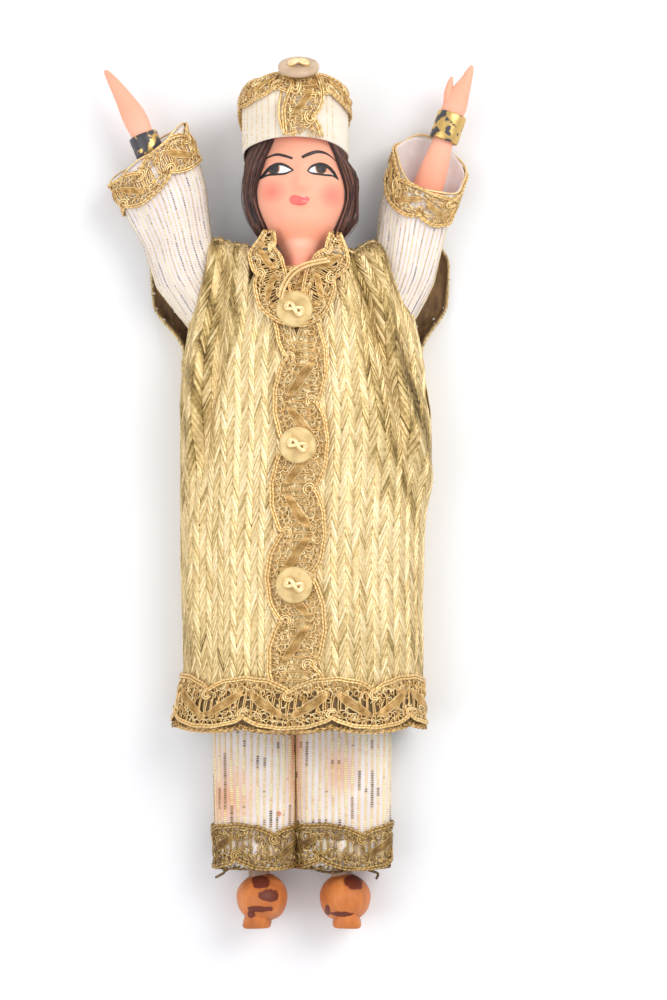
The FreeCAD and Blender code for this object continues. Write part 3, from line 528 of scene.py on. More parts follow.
def bow(along, start, period):
    """How far a cord bows out: 0 at each pinch, 1 halfway between two."""
    return np.abs(np.sin(np.pi * (along - start) / period)) ** 0.55


def trim(strands, place, length, half, period=PERIOD, phase=0.0, fringe=0, dense=1.0, cord=0.36):
    """Scalloped braid: double cords bow out by turns on each edge, leaves cross between them,
    bars and curls fill the rest. place(along, across, height) gives points; across runs -half..half."""
    starts = {1: phase, -1: phase + period / 2}

    def border(along, edge):
        return edge * half * (0.42 + 0.53 * bow(along, starts[edge], period))

    along = np.linspace(0, length, int(length / 0.45))
    for edge in (1, -1):
        wander = 0.12 * np.sin(along * 0.9 + edge)
        for k in (-1, 1):
            across = border(along, edge) + k * cord * 0.95 + wander
            tone = 0.54 + 0.22 * np.sin(along * 9 + k)
            strands.add(place(along, across, 0.95), cord, tone=tone[None], taper=0.7)
    for edge in (1, -1):
        first = math.ceil(-starts[edge] / period)
        for number in range(first, first + int(length / period) + 2):
            pinch = starts[edge] + number * period
            if not 1 < pinch < length - 1:
                continue
            turn = np.linspace(0.1, 1.5, 12) * np.pi
            for r in (0.9, 1.5):
                across = edge * (half * 0.36 - r * np.sin(turn))
                hook = place(pinch + r * np.cos(turn) * 1.1, across, 1.0)
                strands.add(hook, 0.3, tone=0.68)
            add_bars(strands, place, pinch, edge, half, period, length)
            add_leaves(strands, place, pinch, edge, half, period, length)
    add_curls(strands, place, along, border, half, dense)
    add_snips(strands, place, length, border, dense)
    if fringe:
        level = 0.5 * border(along, fringe) + fringe * (0.46 * half + 0.5)
        for row in range(3):
            turns = along * 2 * np.pi / (1.4 + 0.35 * row) + row
            swing = 0.45 + 0.45 * row + 0.7 * np.cos(turns + 0.6 * np.sin(along * (1 + row)))
            loop = place(along + 0.7 * np.sin(turns), level + fringe * swing, 0.5)
            strands.add(loop, 0.24, tone=(0.3 + 0.25 * np.sin(along * 3.1 + row))[None])


def add_leaves(strands, place, pinch, edge, half, period, length):
    """Two bundles run from beside a pinch to the other edge, half a period away."""
    share = np.linspace(0.06, 0.94, 9)
    for way in (-1, 1):
        target = pinch + way * period / 2
        if not -2 < target < length + 2:
            continue
        along = pinch + (target - pinch) * share
        across = edge * half * (-0.55 + 1.05 * share)
        for number, k in enumerate(np.linspace(-1, 1, 7)):
            bulge = k * 0.18 * half * np.sin(np.pi * share) ** 0.7
            height = 0.85 + 0.3 * np.sin(np.pi * share) * (1 - 0.6 * abs(k)) + 0.12 * (number % 2)
            strands.add(place(np.clip(along, 0, length), across + bulge, height), 0.16,
                        tone=(0.64 - 0.30 * (number % 2) + 0.12 * np.sin(share * 40))[None])


def add_bars(strands, place, pinch, edge, half, period, length):
    """Five double bars across the braid at a pinch."""
    for shift in np.linspace(-0.17, 0.17, 5) * period:
        if not 0 < pinch + shift < length:
            continue
        for pair in (-0.28, 0.28):
            across = edge * half * np.linspace(-0.72, 0.45, 6)
            along = np.full(6, pinch + shift + pair) + rng.normal(0, 0.12, 6)
            strands.add(place(along, across, 0.35 + 0.25 * np.sin(np.linspace(0, 3.14, 6))), 0.2, tone=0.55)


def add_curls(strands, place, along, border, half, dense):
    """Looping threads just inside each cord."""
    fine = np.linspace(along[0], along[-1], int(len(along) * 2.2))
    for edge in (1, -1):
        for inside, size in ((0.80, 0.13), (0.52, 0.14)):
            pitch = 1.7 / dense
            turns = fine * 2 * np.pi / pitch + rng.uniform(0, 6)
            size_mm = half * size * (1 + 0.3 * np.sin(fine * 1.7 + rng.uniform(0, 6)))
            middle_line = border(fine, edge) * inside + 0.35 * np.sin(fine * 1.1 + rng.uniform(0, 6))
            path = place(fine + size_mm * np.sin(turns), middle_line + size_mm * np.cos(turns),
                         0.45 + 0.3 * np.sin(turns * 0.5))
            strands.add(path, 0.21, tone=(0.58 + 0.26 * np.sin(turns + 1))[None])


def add_snips(strands, place, length, border, dense):
    """Short stray arcs that make the braid uneven."""
    number = int(length * 2.6 * dense)
    along = rng.uniform(0, length, number)
    share = rng.uniform(-0.92, 0.92, number)
    across = np.where(share > 0, border(along, 1), -border(along, -1)) * share
    heading = rng.uniform(0, 2 * np.pi, number)
    bend = rng.normal(0, 1.3, number)
    t = np.linspace(-1, 1, 6)
    reach = rng.uniform(0.7, 1.6, number)
    turn = heading[:, None] + bend[:, None] * t
    a = np.clip(along[:, None] + reach[:, None] * t * np.cos(turn), 0, length)
    b = across[:, None] + reach[:, None] * t * np.sin(turn)
    height = rng.uniform(0.3, 1.1, number)[:, None]
    strands.add(place(a, b, height), rng.uniform(0.15, 0.24, number), tone=rng.uniform(0.25, 1.0, number))


# ---------------------------------------------------------------- robe

SEAM_Z = 13.0
ROBE_LOW, ROBE_HIGH = -61.0, 80.5
RIGHT_SIDE = [(-72, -38.0), (-60, -36.6), (-51, -34.8), (-18, -35.8), (30, -35.9), (42, -35.0),
              (57, -31.8), (72, -28.6), (81, -27.4)]
LEFT_SIDE = [(-72, 37.0), (-51, 36.4), (-12, 36.8), (0, 37.8), (18, 39.2), (27, 39.0), (40, 36.8),
             (55, 34.2), (62, 32.2), (67, 29.6), (75, 25.9), (81, 23.6)]
FOLDS = [  # (top x, top y, low x, low y, half width, height)
    (-25.0, 80, -32.5, 18, 1.7, 2.0), (-20.5, 80, -29.5, 10, 1.6, -1.5), (-15.0, 80, -20.0, 40, 3.0, 1.0),
    (-30.8, 45, -31.5, -30, 2.2, 0.7), (-27.5, 20, -28.0, -50, 2.0, -0.5), (20.5, 80, 35.5, 12, 2.2, 2.4),
    (17.0, 74, 30.5, 22, 1.9, -2.1), (12.5, 70, 22.5, 18, 3.4, 1.5), (25.0, 62, 38.0, 30, 1.5, -0.9),
    (30.0, 10, 31.5, -50, 2.6, 0.7), (21.0, 20, 20.0, -40, 3.0, -0.5), (-10.5, 40, -11.0, -50, 2.2, 0.4),
    (11.0, 30, 12.0, -50, 2.4, 0.4)]


def robe_depth(y):
    """Front height above the table, read from the CAD robe's box at its ends."""
    low, high = box_mm("robe_front_right")
    return high[2] + (y - low[1]) * (25.0 - high[2]) / (high[1] - low[1])


def front_row(y, cols):
    """One row of the closed robe front, from the right seam to the left one."""
    right, left = ramp(y, RIGHT_SIDE), ramp(y, LEFT_SIDE)
    turn = np.linspace(-np.pi / 2, np.pi / 2, 181)
    x = (right + left) / 2 + (left - right) / 2 * np.sin(turn)
    z = SEAM_Z + (robe_depth(y) - SEAM_Z) * np.abs(np.cos(turn)) ** 1.25
    drop = 6.0 * smooth(y, 77.5, 81.0) * np.abs(np.sin(turn)) ** 0.4
    slope = (1.4 + 3.2 * (1 - smooth(np.abs(x), 14, 26))) * smooth(y, 58, 80.5)
    return evenly(np.stack([x, y - slope, z - drop], axis=1), cols)


def fold_height(x, y):
    """How far the folds stand out of the smooth front."""
    total = np.zeros_like(x)
    for top_x, top_y, low_x, low_y, half, height in FOLDS:
        share = (y - low_y) / (top_y - low_y)
        centre = low_x + (top_x - low_x) * share + 0.8 * np.sin(y * 0.09 + top_x)
        fade = smooth(share, -0.35, 0.1) * (1 - smooth(share, 0.95, 1.3))
        total += height * fade * np.exp(-((x - centre) / half) ** 2)
    return total + 0.22 * np.sin(x * 0.55 + 0.6 * np.sin(y * 0.05)) + 0.15 * np.sin(y * 0.21 + x * 0.13)


def front_skin():
    """The whole closed front, with its folds."""
    rows = np.linspace(ROBE_LOW, ROBE_HIGH, 171)
    skin = Skin([front_row(y, 161) for y in rows])
    flat_top = 1 - 0.85 * smooth(skin.points[..., 1], 73, 78)
    return skin.raised(fold_height(skin.points[..., 0], skin.points[..., 1]) * flat_top)


def back_row(y, cols):
    """From the left seam round the flat back to the right seam, opening out flat at the shoulders."""
    opened = smooth(y, 43, 60)
    right_flap = 44.0 + 1.5 * smooth(y, 50, 72) - 5 * smooth(y, 72, 83)
    left_flap = 44.0 + 1.0 * smooth(y, 50, 70) - 6 * smooth(y, 72, 83)
    right = ramp(y, RIGHT_SIDE) * (1 - opened) - right_flap * opened
    left = ramp(y, LEFT_SIDE) * (1 - opened) + left_flap * opened
    rise = (SEAM_Z - 0.5) * (1 - opened) + 2.4 * opened
    turn = np.linspace(0, np.pi / 2, 30)
    corner = 9.0
    left_x = left - corner + corner * np.sin(turn)
    right_x = right + corner - corner * np.sin(turn)
    z = 0.5 + rise * (1 - np.cos(turn))
    x = np.concatenate([left_x[::-1], right_x])
    z = np.concatenate([z[::-1], z])
    return evenly(np.stack([x, np.full_like(x, y), z], axis=1), cols)


def back_skin():
    """The flat back, dipping behind the neck."""
    rows = np.linspace(ROBE_LOW, 81.5, 121)
    points = np.array([back_row(y, 131) for y in rows])
    dip = 6.5 * smooth(points[..., 1], 60, 81.5) * np.exp(-(points[..., 0] / 24.0) ** 6)
    points[..., 1] -= dip
    return Skin(points)


def herringbone(strands, skin, columns, pitch, threads, keep=None, seed=3):
    """Braid of slanting strands in columns that meet in downward points."""
    local = np.random.default_rng(seed)
    rows = int(skin.along_mm / pitch)
    step = 1.0 / columns
    t = np.array([0, 0.08, 0.35, 0.65, 0.92, 1.0])
    length = 2.3 * pitch / skin.along_mm
    for column in range(columns):
        falling = column % 2 == 0
        number = rows * threads
        order = np.arange(-threads, number)
        group = order // threads
        inside = (order % threads - (threads - 1) / 2) / threads
        start = (order / threads + 1.0) * pitch / skin.along_mm
        start = start + local.normal(0, 0.06, group.max() + 2)[group + 1] * pitch / skin.along_mm
        lean = t if falling else 1 - t
        across = np.tile((column + 0.5 + (lean - 0.5) * 1.06) * step, (len(order), 1))
        along = start[:, None] + length * (1 - t)[None] - length * 0.5
        lift = local.uniform(-0.12, 0.22, group.max() + 2)[group + 1]
        arch = 1 - np.abs(2 * t - 1) ** 12
        height = 0.24 + lift[:, None] * 0.35 + (0.16 - 0.5 * inside[:, None] ** 2) * arch[None]
        good = (along.max(axis=1) >= 0.01) & (along.min(axis=1) <= 0.985)
        along = np.clip(along, 0, 1)
        centre = (skin.at(across[:, 2], along[:, 2]) + skin.at(across[:, 3], along[:, 3])) / 2
        if keep is not None:
            good &= keep(centre)
        across, along, height = across[good], along[good], height[good]
        shade = local.normal(0, 0.09, group.max() + 2)[group + 1][good]
        # Painted shade: the outer threads of each strand a little darker, each strand darker at its ends
        # where it tucks under the next, and some ends very dark as the shade in pinholes.
        edge_shade = 0.16 * (2 * np.abs(inside[good])) ** 2
        place = skin.at(across, along, height)
        pinhole_shade = 1.1 * (local.uniform(0, 1, len(shade)) < 0.16)[:, None] * (t > 0.97)[None]
        tone = (0.73 + shade - edge_shade + local.normal(0, 0.08, len(shade)))[:, None] - 0.3 * (1 - arch)[None]
        tone = tone - pinhole_shade - shadow_tone(place)
        strands.add(place, 0.27, up=skin.up(across, along), tone=tone, flat=0.6, taper=0.7)


NECK = {  # (y, x) down each side of the V neck
    "right": [(51, 0.0), (54.5, -6.0), (60, -10.8), (66, -14.6), (72, -15.3), (82, -14.6)],
    "left": [(51, 0.0), (55.5, 5.0), (62.5, 8.0), (70, 14.0), (76, 15.2), (82, 15.0)],
}
SHOULDER_EDGES = {"right": (0.06, 0.27), "left": (0.75, 0.93)}  # raw top edges, as shares across the front
SHADOW_BANDS = [  # (top x, top y, low x, low y, half width, depth) of darker gold over the folds
    (15.0, 80, 30.0, 5, 5.5, 0.34), (24.0, 74, 39.0, 10, 3.4, 0.42), (-24.5, 80, -32.0, 20, 4.2, 0.36),
    (-17.5, 80, -22.0, 40, 1.6, 0.34), (-36.5, 30, -35.0, -60, 3.0, 0.18),
    (34.5, 0, 35.5, -60, 3.5, 0.12)]


def shadow_tone(points):
    """How much darker the gold looks where the cloth turns away in its folds."""
    x, y, z = points[..., 0], points[..., 1], points[..., 2]
    total = 0.10 * smooth(-y, 20, 60) + 0.05 * smooth(-x, 0, 30)
    for top_x, top_y, low_x, low_y, half, depth in SHADOW_BANDS:
        share = (y - low_y) / (top_y - low_y)
        centre = low_x + (top_x - low_x) * share + 1.2 * np.sin(y * 0.13 + top_x)
        patchy = 0.75 + 0.45 * np.sin(y * 0.31 + x * 0.9 + top_x)
        band = np.exp(-((x - centre) / half) ** 2) * (z > SEAM_Z)
        total = total + depth * smooth(share, -0.3, 0.15) * patchy * band
    return total


def outside_neck(points):
    """True for places that the V neck doesn't cut away."""
    x, y = points[..., 0], points[..., 1]
    return (x < ramp(y, NECK["right"])) | (x > ramp(y, NECK["left"]))


def make_robe_front():
    """Two fronts that share one skin, each braided and edged; gives back the skin."""
    skin = front_skin()
    cols = skin.points.shape[1]
    centres = (skin.points[:-1, :-1] + skin.points[1:, 1:]) / 2
    clear = outside_neck(centres)
    half = np.arange(cols - 1) < cols // 2
    for side, mask, node in (("right", half, "robe_front_right"), ("left", ~half, "robe_front_left")):
        # The cloth under the braid is dark brown, as painted shade for the gaps between strands.
        base = skin.cloth(f"{side}_front_cloth", GAP_SHADE, "torso", "gold_cloth", keep=clear & mask[None])
        strands = Strands()
        sign = SIDES[side]

        def keep(points, sign=sign):
            """True for places on this front, outside the neck."""
            return outside_neck(points) & (sign * (points[..., 0] - skin_middle(points[..., 1])) >= 0)

        herringbone(strands, skin, 40, 2.55, 4, keep, seed=5 + sign)
        top_edge = np.linspace(*SHOULDER_EDGES[side], 40)
        edge_stitches(strands, skin, (top_edge, np.full(40, 0.992)), 51)
        edge_stitches(strands, skin, neck_line(skin, NECK[side]), 52)
        braid = strands.piece(f"{side}_front_braid", GOLD_CLOTH, "torso", "gold_cloth")
        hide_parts(node)
    return skin


def edge_stitches(strands, skin, line, seed):
    """Overcast stitches along a raw edge of the robe, given as (across, along) places on its skin."""
    local = np.random.default_rng(seed)
    across, along = line
    ridge = skin.at(across, along, 0.35)
    strands.add(ridge, 0.42, tone=(0.45 + 0.2 * np.sin(np.arange(len(ridge)) * 0.9))[None], sides=6)
    ahead = unit(np.gradient(ridge, axis=0))
    outward = unit(np.cross(ahead, skin.up(across, along)))
    for k in range(1, len(ridge) - 1):
        reach = local.uniform(0.5, 0.9)
        turn = np.linspace(-1, 1, 5)[:, None]
        stitch = ridge[k] + outward[k] * turn * reach + ahead[k] * turn * 0.35
        stitch = stitch + skin.up(across[k:k + 1], along[k:k + 1]) * (0.55 * (1 - turn ** 2) - 0.1)
        strands.add(stitch, 0.2, tone=local.uniform(0.25, 0.75))


def neck_line(skin, table):
    """Places on the front's skin along one side of the neck opening."""
    y = np.linspace(52, 79, 60)
    x = ramp(y, table)
    along = np.interp(y, skin.points[:, 80, 1], np.linspace(0, 1, len(skin.points)))
    across = 0.5 + (x - skin_middle(y)) / skin.across_mm
    return across, along


def skin_middle(y):
    """The x halfway between the two side seams."""
    return (ramp(y, RIGHT_SIDE) + ramp(y, LEFT_SIDE)) / 2


def pierced_lining():
    """The inside of the back: brown weave with pinholes where the light comes through."""
    mat, tree, shader = nodes_of("robe_back_lining")
    base = ramp_node(tree, noise_node(tree, 600.0, 4.0, (1, 0.3, 1)),
                     mottle((0.10, 0.05, 0.02), (0.26, 0.15, 0.06)))
    holes = tree.nodes.new("ShaderNodeTexVoronoi")
    holes.inputs["Scale"].default_value = 400.0
    holes.inputs["Randomness"].default_value = 0.6
    tree.links.new(place_nodes(tree), holes.inputs["Vector"])
    mask = ramp_node(tree, holes.outputs["Distance"], [(0.15, (1, 1, 1)), (0.19, (0, 0, 0))])
    dress(tree, shader, mix_node(tree, mask, base, (0.80, 0.76, 0.70)), {"Roughness": 0.7})
    return mat


def make_robe_back():
    """Lining, braid and the stitched rims of the two flaps."""
    skin = back_skin()
    base = skin.cloth("back_cloth", pierced_lining(), "torso", "gold_cloth")
    strands = Strands()
    herringbone(strands, skin, 52, 2.9, 3, seed=9)
    braid = strands.piece("back_braid", GOLD_CLOTH, "torso", "gold_cloth")
    rim = Strands()
    for across in (0.006, 0.994):
        edge_stitches(rim, skin, (np.full(90, across), np.linspace(0.70, 0.985, 90)), 53)
    flap_rim = rim.piece("back_flap_rim", GOLD_CLOTH, "torso", "gold_cloth")
    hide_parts("robe_back")


def hem_skin():
    """The ring round the bottom of the robe, a little flared."""
    rows = []
    for y in np.linspace(-69.8, -51.8, 19):
        front = front_row(y, 61)
        back = back_row(y, 61)
        loop = evenly(np.vstack([front, back[1:], front[:1]]), 181)
        centre = np.array([1.0, y, 15.0])
        flare = 1.0 + 0.02 * (-51.8 - y) / 18.0
        loop = centre + (loop - centre) * flare
        rows.append(loop)
    return Skin(rows, closed=True)


def make_hem():
    """Lace round the hem with a brown band under it, down to the table; the band is painted shade for the
    gaps in the lace.
    """
    skin = hem_skin()
    low_z = skin.points[..., 2].min()
    skin = Skin(skin.points - np.array([0, 0, min(low_z - 1.5, 0)]), closed=True)
    length = skin.across_mm
    count = round(length / PERIOD)
    period = length / count
    front_share = skin.points[10, :, 0]
    near_slit = np.argmin(np.abs(front_share[:90] + 3.0)) / (len(front_share) - 1) * length
    strands = Strands()

    def place(along, across, height):
        return skin.at(along / length, 0.5 + across * np.where(across < 0, 0.82, 1.0) / 18.0, height)

    trim(strands, place, length, 8.3, period, near_slit, fringe=-1, dense=1.1, cord=0.42)
    lace = strands.piece("hem_lace_braid", GOLD_LACE, "torso", "gold_lace")
    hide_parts("hem_lace")
    under = Skin(skin.points[2:14] - skin.normal[2:14] * 0.35, closed=True)
    band = under.cloth("hem_band", GAP_SHADE, "torso", "gold_lace")


def make_placket(skin):
    """Braid down the closed front edge; the buttons sit on it."""
    strands = Strands()
    low, high = box_mm("placket_lace")
    length = high[1] - low[1] + 3
    span = ROBE_HIGH - ROBE_LOW
    top = high[1] + 2

    def place(along, across, height):
        y = top - along
        share = (y - ROBE_LOW) / span
        x = across - 0.4 + 0.8 * np.sin(along * 0.06)
        return skin.at(0.5 + (x - skin_middle(y)) / skin.across_mm, share, height + 0.75)

    trim(strands, place, length, 8.4, PERIOD, top - 29.2, dense=1.0, cord=0.4)
    lace = strands.piece("placket_braid", GOLD_LACE, "torso", "gold_lace")
    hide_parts("placket_lace")


def make_collar():
    """Standing lace round the neck that meets under the top button."""
    strands = Strands()
    route = curve_through([(-9.2, 80.2), (-9.7, 75), (-10.0, 69.5), (-8.7, 63.5), (-5.6, 58.6),
                           (-1.0, 55.2), (2.4, 57.6), (5.0, 62.4), (8.2, 68.5), (10.0, 74.0),
                           (10.8, 79.8)], 180)
    step = np.linalg.norm(np.diff(route, axis=0), axis=1)
    run = np.concatenate([[0], np.cumsum(step)])
    ahead = unit(np.gradient(route, axis=0))
    outward = np.stack([ahead[:, 1], -ahead[:, 0]], axis=1)

    def place(along, across, height):
        across = across * (0.3 + 0.7 * smooth(np.minimum(along, run[-1] - along), -1.0, 9.0))
        x = np.interp(along, run, route[:, 0]) + across * -np.interp(along, run, outward[:, 0])
        y = np.interp(along, run, route[:, 1]) + across * -np.interp(along, run, outward[:, 1])
        stand = 1.2 + 1.6 * smooth(y, 58, 80) + 0.12 * np.abs(across)
        z = collar_ground(x, y) + height + stand
        return np.stack([x, y, z], axis=-1)

    trim(strands, place, run[-1], 5.6, 15.5, 5.0, dense=1.35, cord=0.34)

    def tongue_place(along, across, height):
        """The lace that fills the V under the neck, narrower towards the top button."""
        y = 69.6 - along
        x = 0.2 + across * (1.15 - 0.07 * along)
        return np.stack([x, y, collar_ground(x, y) + height + 1.1], axis=-1)

    trim(strands, tongue_place, 11.0, 5.0, 11.0, 7.5, dense=1.5, cord=0.34)
    neck_cord = [(-6.2, 60.0, 30.6), (-5.0, 64.0, 31.2), (-2.6, 67.6, 31.4), (0.8, 69.8, 31.2),
                 (4.6, 70.9, 30.8), (8.2, 71.6, 30.4)]
    for shift in (0.0, 1.05):
        line = curve_through(neck_cord, 60) + np.array([shift * 0.8, -shift * 0.7, 0])
        strands.add(line, 0.44, tone=0.66, sides=6)
    lace = strands.piece("collar_braid", GOLD_LACE, "torso", "gold_lace")
    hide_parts("collar_lace")


def collar_ground(x, y):
    """Height of the robe front without its folds."""
    right, left = ramp(y, RIGHT_SIDE), ramp(y, LEFT_SIDE)
    share = np.clip((x - (right + left) / 2) / ((left - right) / 2), -1, 1)
    return SEAM_Z + (robe_depth(y) - SEAM_Z) * (1 - share ** 2) ** 0.625


# ---------------------------------------------------------------- buttons

def figure_eight(centre, normal, radius, reach, lean):
    """Thread that passes twice through both holes, tied in a raised figure eight."""
    normal = unit(np.asarray(normal, float))
    along = unit(np.array([math.cos(lean), math.sin(lean), 0.0]))
    along = unit(along - normal * along.dot(normal))
    side = np.cross(normal, along)
    turn = np.linspace(0, 2 * np.pi, 49)
    return (centre + np.outer(reach * np.sin(turn), along) + np.outer(reach * 0.42 * np.sin(2 * turn), side)
            + np.outer(radius * (1.0 + 0.55 * np.cos(2 * turn)), normal))


def make_button(name, thread_name, material, body, normal, lean):
    """Dished disc with its thread."""
    low, high = box_mm(name)
    centre = (low + high) / 2
    radius = (high[0] - low[0]) / 2
    half = 1.1
    profile = [(0.01, -half), (radius * 0.8, -half), (radius * 0.95, -half * 0.75),
               (radius, -half * 0.15), (radius * 0.99, half * 0.35), (radius * 0.95, half * 0.75),
               (radius * 0.86, half * 0.98), (radius * 0.7, half), (radius * 0.5, half * 0.9),
               (radius * 0.25, half * 0.82), (0.01, half * 0.8)]
    vertices, faces = lathe(profile, centre, normal)
    disc = add_piece(f"{name}_disc", vertices, faces, material, body)
    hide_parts(name)
    normal = unit(np.asarray(normal, float))
    strands = Strands()
    for k, size in ((0, 1.0), (1, 0.8)):
        path = figure_eight(centre + normal * (half * 0.75 + 0.2 * k), normal, 0.7, 2.8 * size, lean)
        strands.add(path, 0.62, tone=0.72 + 0.1 * k, sides=8, taper=1.0)
    thread = strands.piece(f"{thread_name}_loop", GOLD_LACE, body, "thread")
    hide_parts(thread_name)


def make_buttons():
    """Three coat buttons down the front, and one on top of the cap."""
    lean_back = math.radians(3.84)
    outward = (0, math.sin(lean_back), math.cos(lean_back))
    for spot, lean in (("top", -0.5), ("middle", -0.42), ("bottom", -0.38)):
        make_button(f"button_{spot}", f"button_thread_{spot}", BUTTON, "torso", outward, lean)
    tilt = math.radians(32)
    upward = (0, math.cos(tilt), math.sin(tilt))
    make_button("cap_button", "cap_button_thread", CAP_BUTTON, "head", upward, 0.1)


# ---------------------------------------------------------------- arms

def arm_frame(side):
    """The shoulder, the way to the elbow, and the way out to the arm's outer side."""
    shoulder = np.array(JOINTS[f"{side}_shoulder"]["pos_m"]) / MM
    elbow = np.array(JOINTS[f"{side}_elbow"]["pos_m"]) / MM
    along = unit(elbow - shoulder)
    out = np.cross(along, UP) * SIDES[side]
    return shoulder, along, out


def arm_points(side, along, out, up):
    """Places along, out from and above an arm's middle line."""
    base, direction, outward = arm_frame(side)
    along, out, up = np.broadcast_arrays(*(np.asarray(v, float)[..., None] for v in (along, out, up)))
    return base + along * direction + out * outward + up * UP


SLEEVE_START = -2.0  # the sleeve begins this far along the arm from the shoulder, inside the robe
SLEEVES = {
    "right": {"sections": [(-2, 1.4, 7.0, 5.2), (4, 1.8, 7.9, 5.6), (12, 2.6, 9.4, 6.0),
                           (18, 3.2, 10.3, 6.2), (25, 2.7, 10.2, 6.4), (31, 1.7, 10.8, 6.9),
                           (40, 0.9, 12.7, 7.8), (50, 0.8, 13.7, 8.6), (62, 1.3, 13.9, 9.0)],
              "mouth": 56.3, "side_lean": -4.2, "front_lean": -1.6, "lace_start": 4.0},
    "left": {"sections": [(-2, 1.2, 7.0, 5.2), (4, 1.6, 7.8, 5.6), (12, 2.0, 8.9, 6.0),
                          (17, 1.9, 9.5, 6.2), (22, 1.2, 9.9, 6.4), (34, -0.8, 10.6, 7.8),
                          (50, -1.2, 11.2, 8.8), (66, -1.4, 10.6, 9.0)],
             "mouth": 50.6, "side_lean": -1.6, "front_lean": -8.6, "lace_start": 9.0},
}


def sleeve_skin(side):
    """Tube round the arm; across 0 is the middle of the front, and along 1 is the mouth."""
    data = SLEEVES[side]
    along_list, out_list, wide_list, deep_list = zip(*data["sections"])
    turn = np.linspace(0, 2 * np.pi, 97)
    sign = SIDES[side]
    rows = []
    for share in np.linspace(0, 1, 61):
        end = data["mouth"] + data["side_lean"] * np.sin(turn) + data["front_lean"] * np.cos(turn)
        along = SLEEVE_START + (end - SLEEVE_START) * share
        wide = np.interp(along, along_list, wide_list)
        deep = np.interp(along, along_list, deep_list)
        ripple = 1 + 0.022 * np.sin(turn * 5 + 2.2 * share + sign) + 0.014 * np.sin(turn * 9 - 3 * share)
        out = np.interp(along, along_list, out_list) + wide * np.sin(turn) * ripple
        up = deep * np.cos(turn) * ripple + 0.25 * np.sin(along * 0.35) * np.cos(turn)
        rows.append(evenly(arm_points(side, along, out, np.maximum(up, -10.9)), 97))
    return Skin(rows, closed=True, flip=sign < 0)


def stripes(strands, skin, pitch, dash, seed, wide, tones, fade):
    """Lurex threads woven along a cloth tube: rows of short floats, every other row fainter by fade.
    tones are those of its dark, usual and bright stretches."""
    local = np.random.default_rng(seed)
    count = int(skin.across_mm / pitch / 2) * 2
    number = int(skin.along_mm / dash)
    t = np.linspace(-0.26, 0.26, 3)
    knots = np.arange(0, number + 9, 7)
    for stripe in range(count):
        faint = stripe % 2
        start = (np.arange(number) + 0.5) * dash / skin.along_mm
        along = start[:, None] + t[None] * dash / skin.along_mm
        across = (stripe + 0.5 + 0.06 * np.sin(start * 14 + stripe))[:, None] / count
        run = np.interp(np.arange(number), knots, local.uniform(0.0, 1.0, len(knots)))
        bright = np.where(run > 0.7, tones[2], np.where(run < 0.22, tones[0], tones[1])) + fade * faint
        size = wide * np.where(run > 0.7, 1.2, 0.9) * (1 - fade * faint)
        height = np.broadcast_to(np.array([0.05, 0.12, 0.05]), along.shape)
        strands.add(skin.at(across, along, height), size, up=skin.up(across, along),
                    tone=bright + local.normal(0, 0.08, number), flat=0.3, taper=0.8)


def striped_tube(name, skin, material, threads):
    """Cloth tube with lurex stripes; neither rides on a body."""
    cloth = skin.cloth(f"{name}_cloth", material, None, "cream_cloth")
    strands = Strands()
    stripes(strands, skin, **threads)
    floats = strands.piece(f"{name}_stripes", LUREX, None, "thread")
    for piece in (cloth, floats):
        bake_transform(piece)
    return cloth, floats


def make_sleeve(side):
    """Striped sleeve, with lace round its mouth that rides on the forearm."""
    skin = sleeve_skin(side)
    upper, fore = f"{side}_upper_arm", f"{side}_forearm"
    threads = {"pitch": 1.28, "dash": 0.72, "seed": 21 + SIDES[side], "wide": 0.36,
               "tones": (0.12, 0.42, 0.95), "fade": 0.26}
    cloth, floats = striped_tube(f"{side}_sleeve", skin, SLEEVE, threads)
    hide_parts(f"{side}_sleeve")
    lace = Strands()
    length = skin.across_mm * 1.12
    half = 6.0
    reach = skin.along_mm
    data = SLEEVES[side]

    def place(along, across, height):
        return skin.at(along / length, 1.0 + (across - half + 0.4) / reach, height)

    trim(lace, place, length, half, length / 4, data["lace_start"], dense=1.2, cord=0.36)
    mouth = skin.at(np.linspace(0, 1, 160), np.full(160, 1.0), 0.2)
    loose = mouth + arm_frame(side)[1] * (0.3 + 0.6 * np.sin(np.linspace(0, 8 * np.pi, 160)))[:, None]
    lace.add(loose, 0.36, tone=0.7)
    braid = lace.piece(f"{side}_cuff_braid", GOLD_LACE, fore, "gold_lace")
    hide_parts(f"{side}_sleeve_lace")


HANDS = {  # (along, out, half width, half depth)
    "right": [(30.5, 0, 2.6, 1.4), (34, 0, 3.1, 3.0), (50, 0, 3.2, 3.1), (60, 0, 3.3, 3.1),
              (64, 0.1, 3.5, 3.0), (67, 0.2, 3.7, 2.8), (70, 0.45, 3.5, 2.4), (73, 0.8, 3.0, 2.1),
              (76, 1.25, 2.5, 1.8), (79, 1.8, 2.0, 1.5), (81.5, 2.3, 1.5, 1.2), (83.6, 2.75, 1.0, 0.9),
              (84.7, 3.0, 0.45, 0.45)],
    "left": [(30.5, 0, 2.6, 1.4), (34, 0, 4.0, 3.0), (42, 0.2, 4.6, 3.1), (50, 0.2, 4.2, 3.1),
             (58, 0, 3.2, 3.0), (65, -0.1, 3.2, 3.0), (68, -0.2, 3.6, 2.8), (71, -0.1, 3.6, 2.4),
             (74, 0.0, 3.0, 2.1), (77, 0.3, 2.3, 1.7), (79.5, 0.6, 1.6, 1.3), (81.8, 0.7, 1.1, 1.0),
             (83.4, 0.8, 0.45, 0.45)],
}
THUMB = [(70.0, -2.2, 1.6, 1.5), (73, -3.2, 1.35, 1.3), (76, -3.7, 1.0, 1.0), (78.2, -3.9, 0.4, 0.4)]


def arm_loft(side, sections):
    """A tapered oval limb from (along, out, half width, half depth) rows."""
    _, _, out = arm_frame(side)
    shaped = [(arm_points(side, along, shift, 0), out * wide * SIDES[side], -UP * deep)
              for along, shift, wide, deep in sections]
    return loft(shaped, 28)


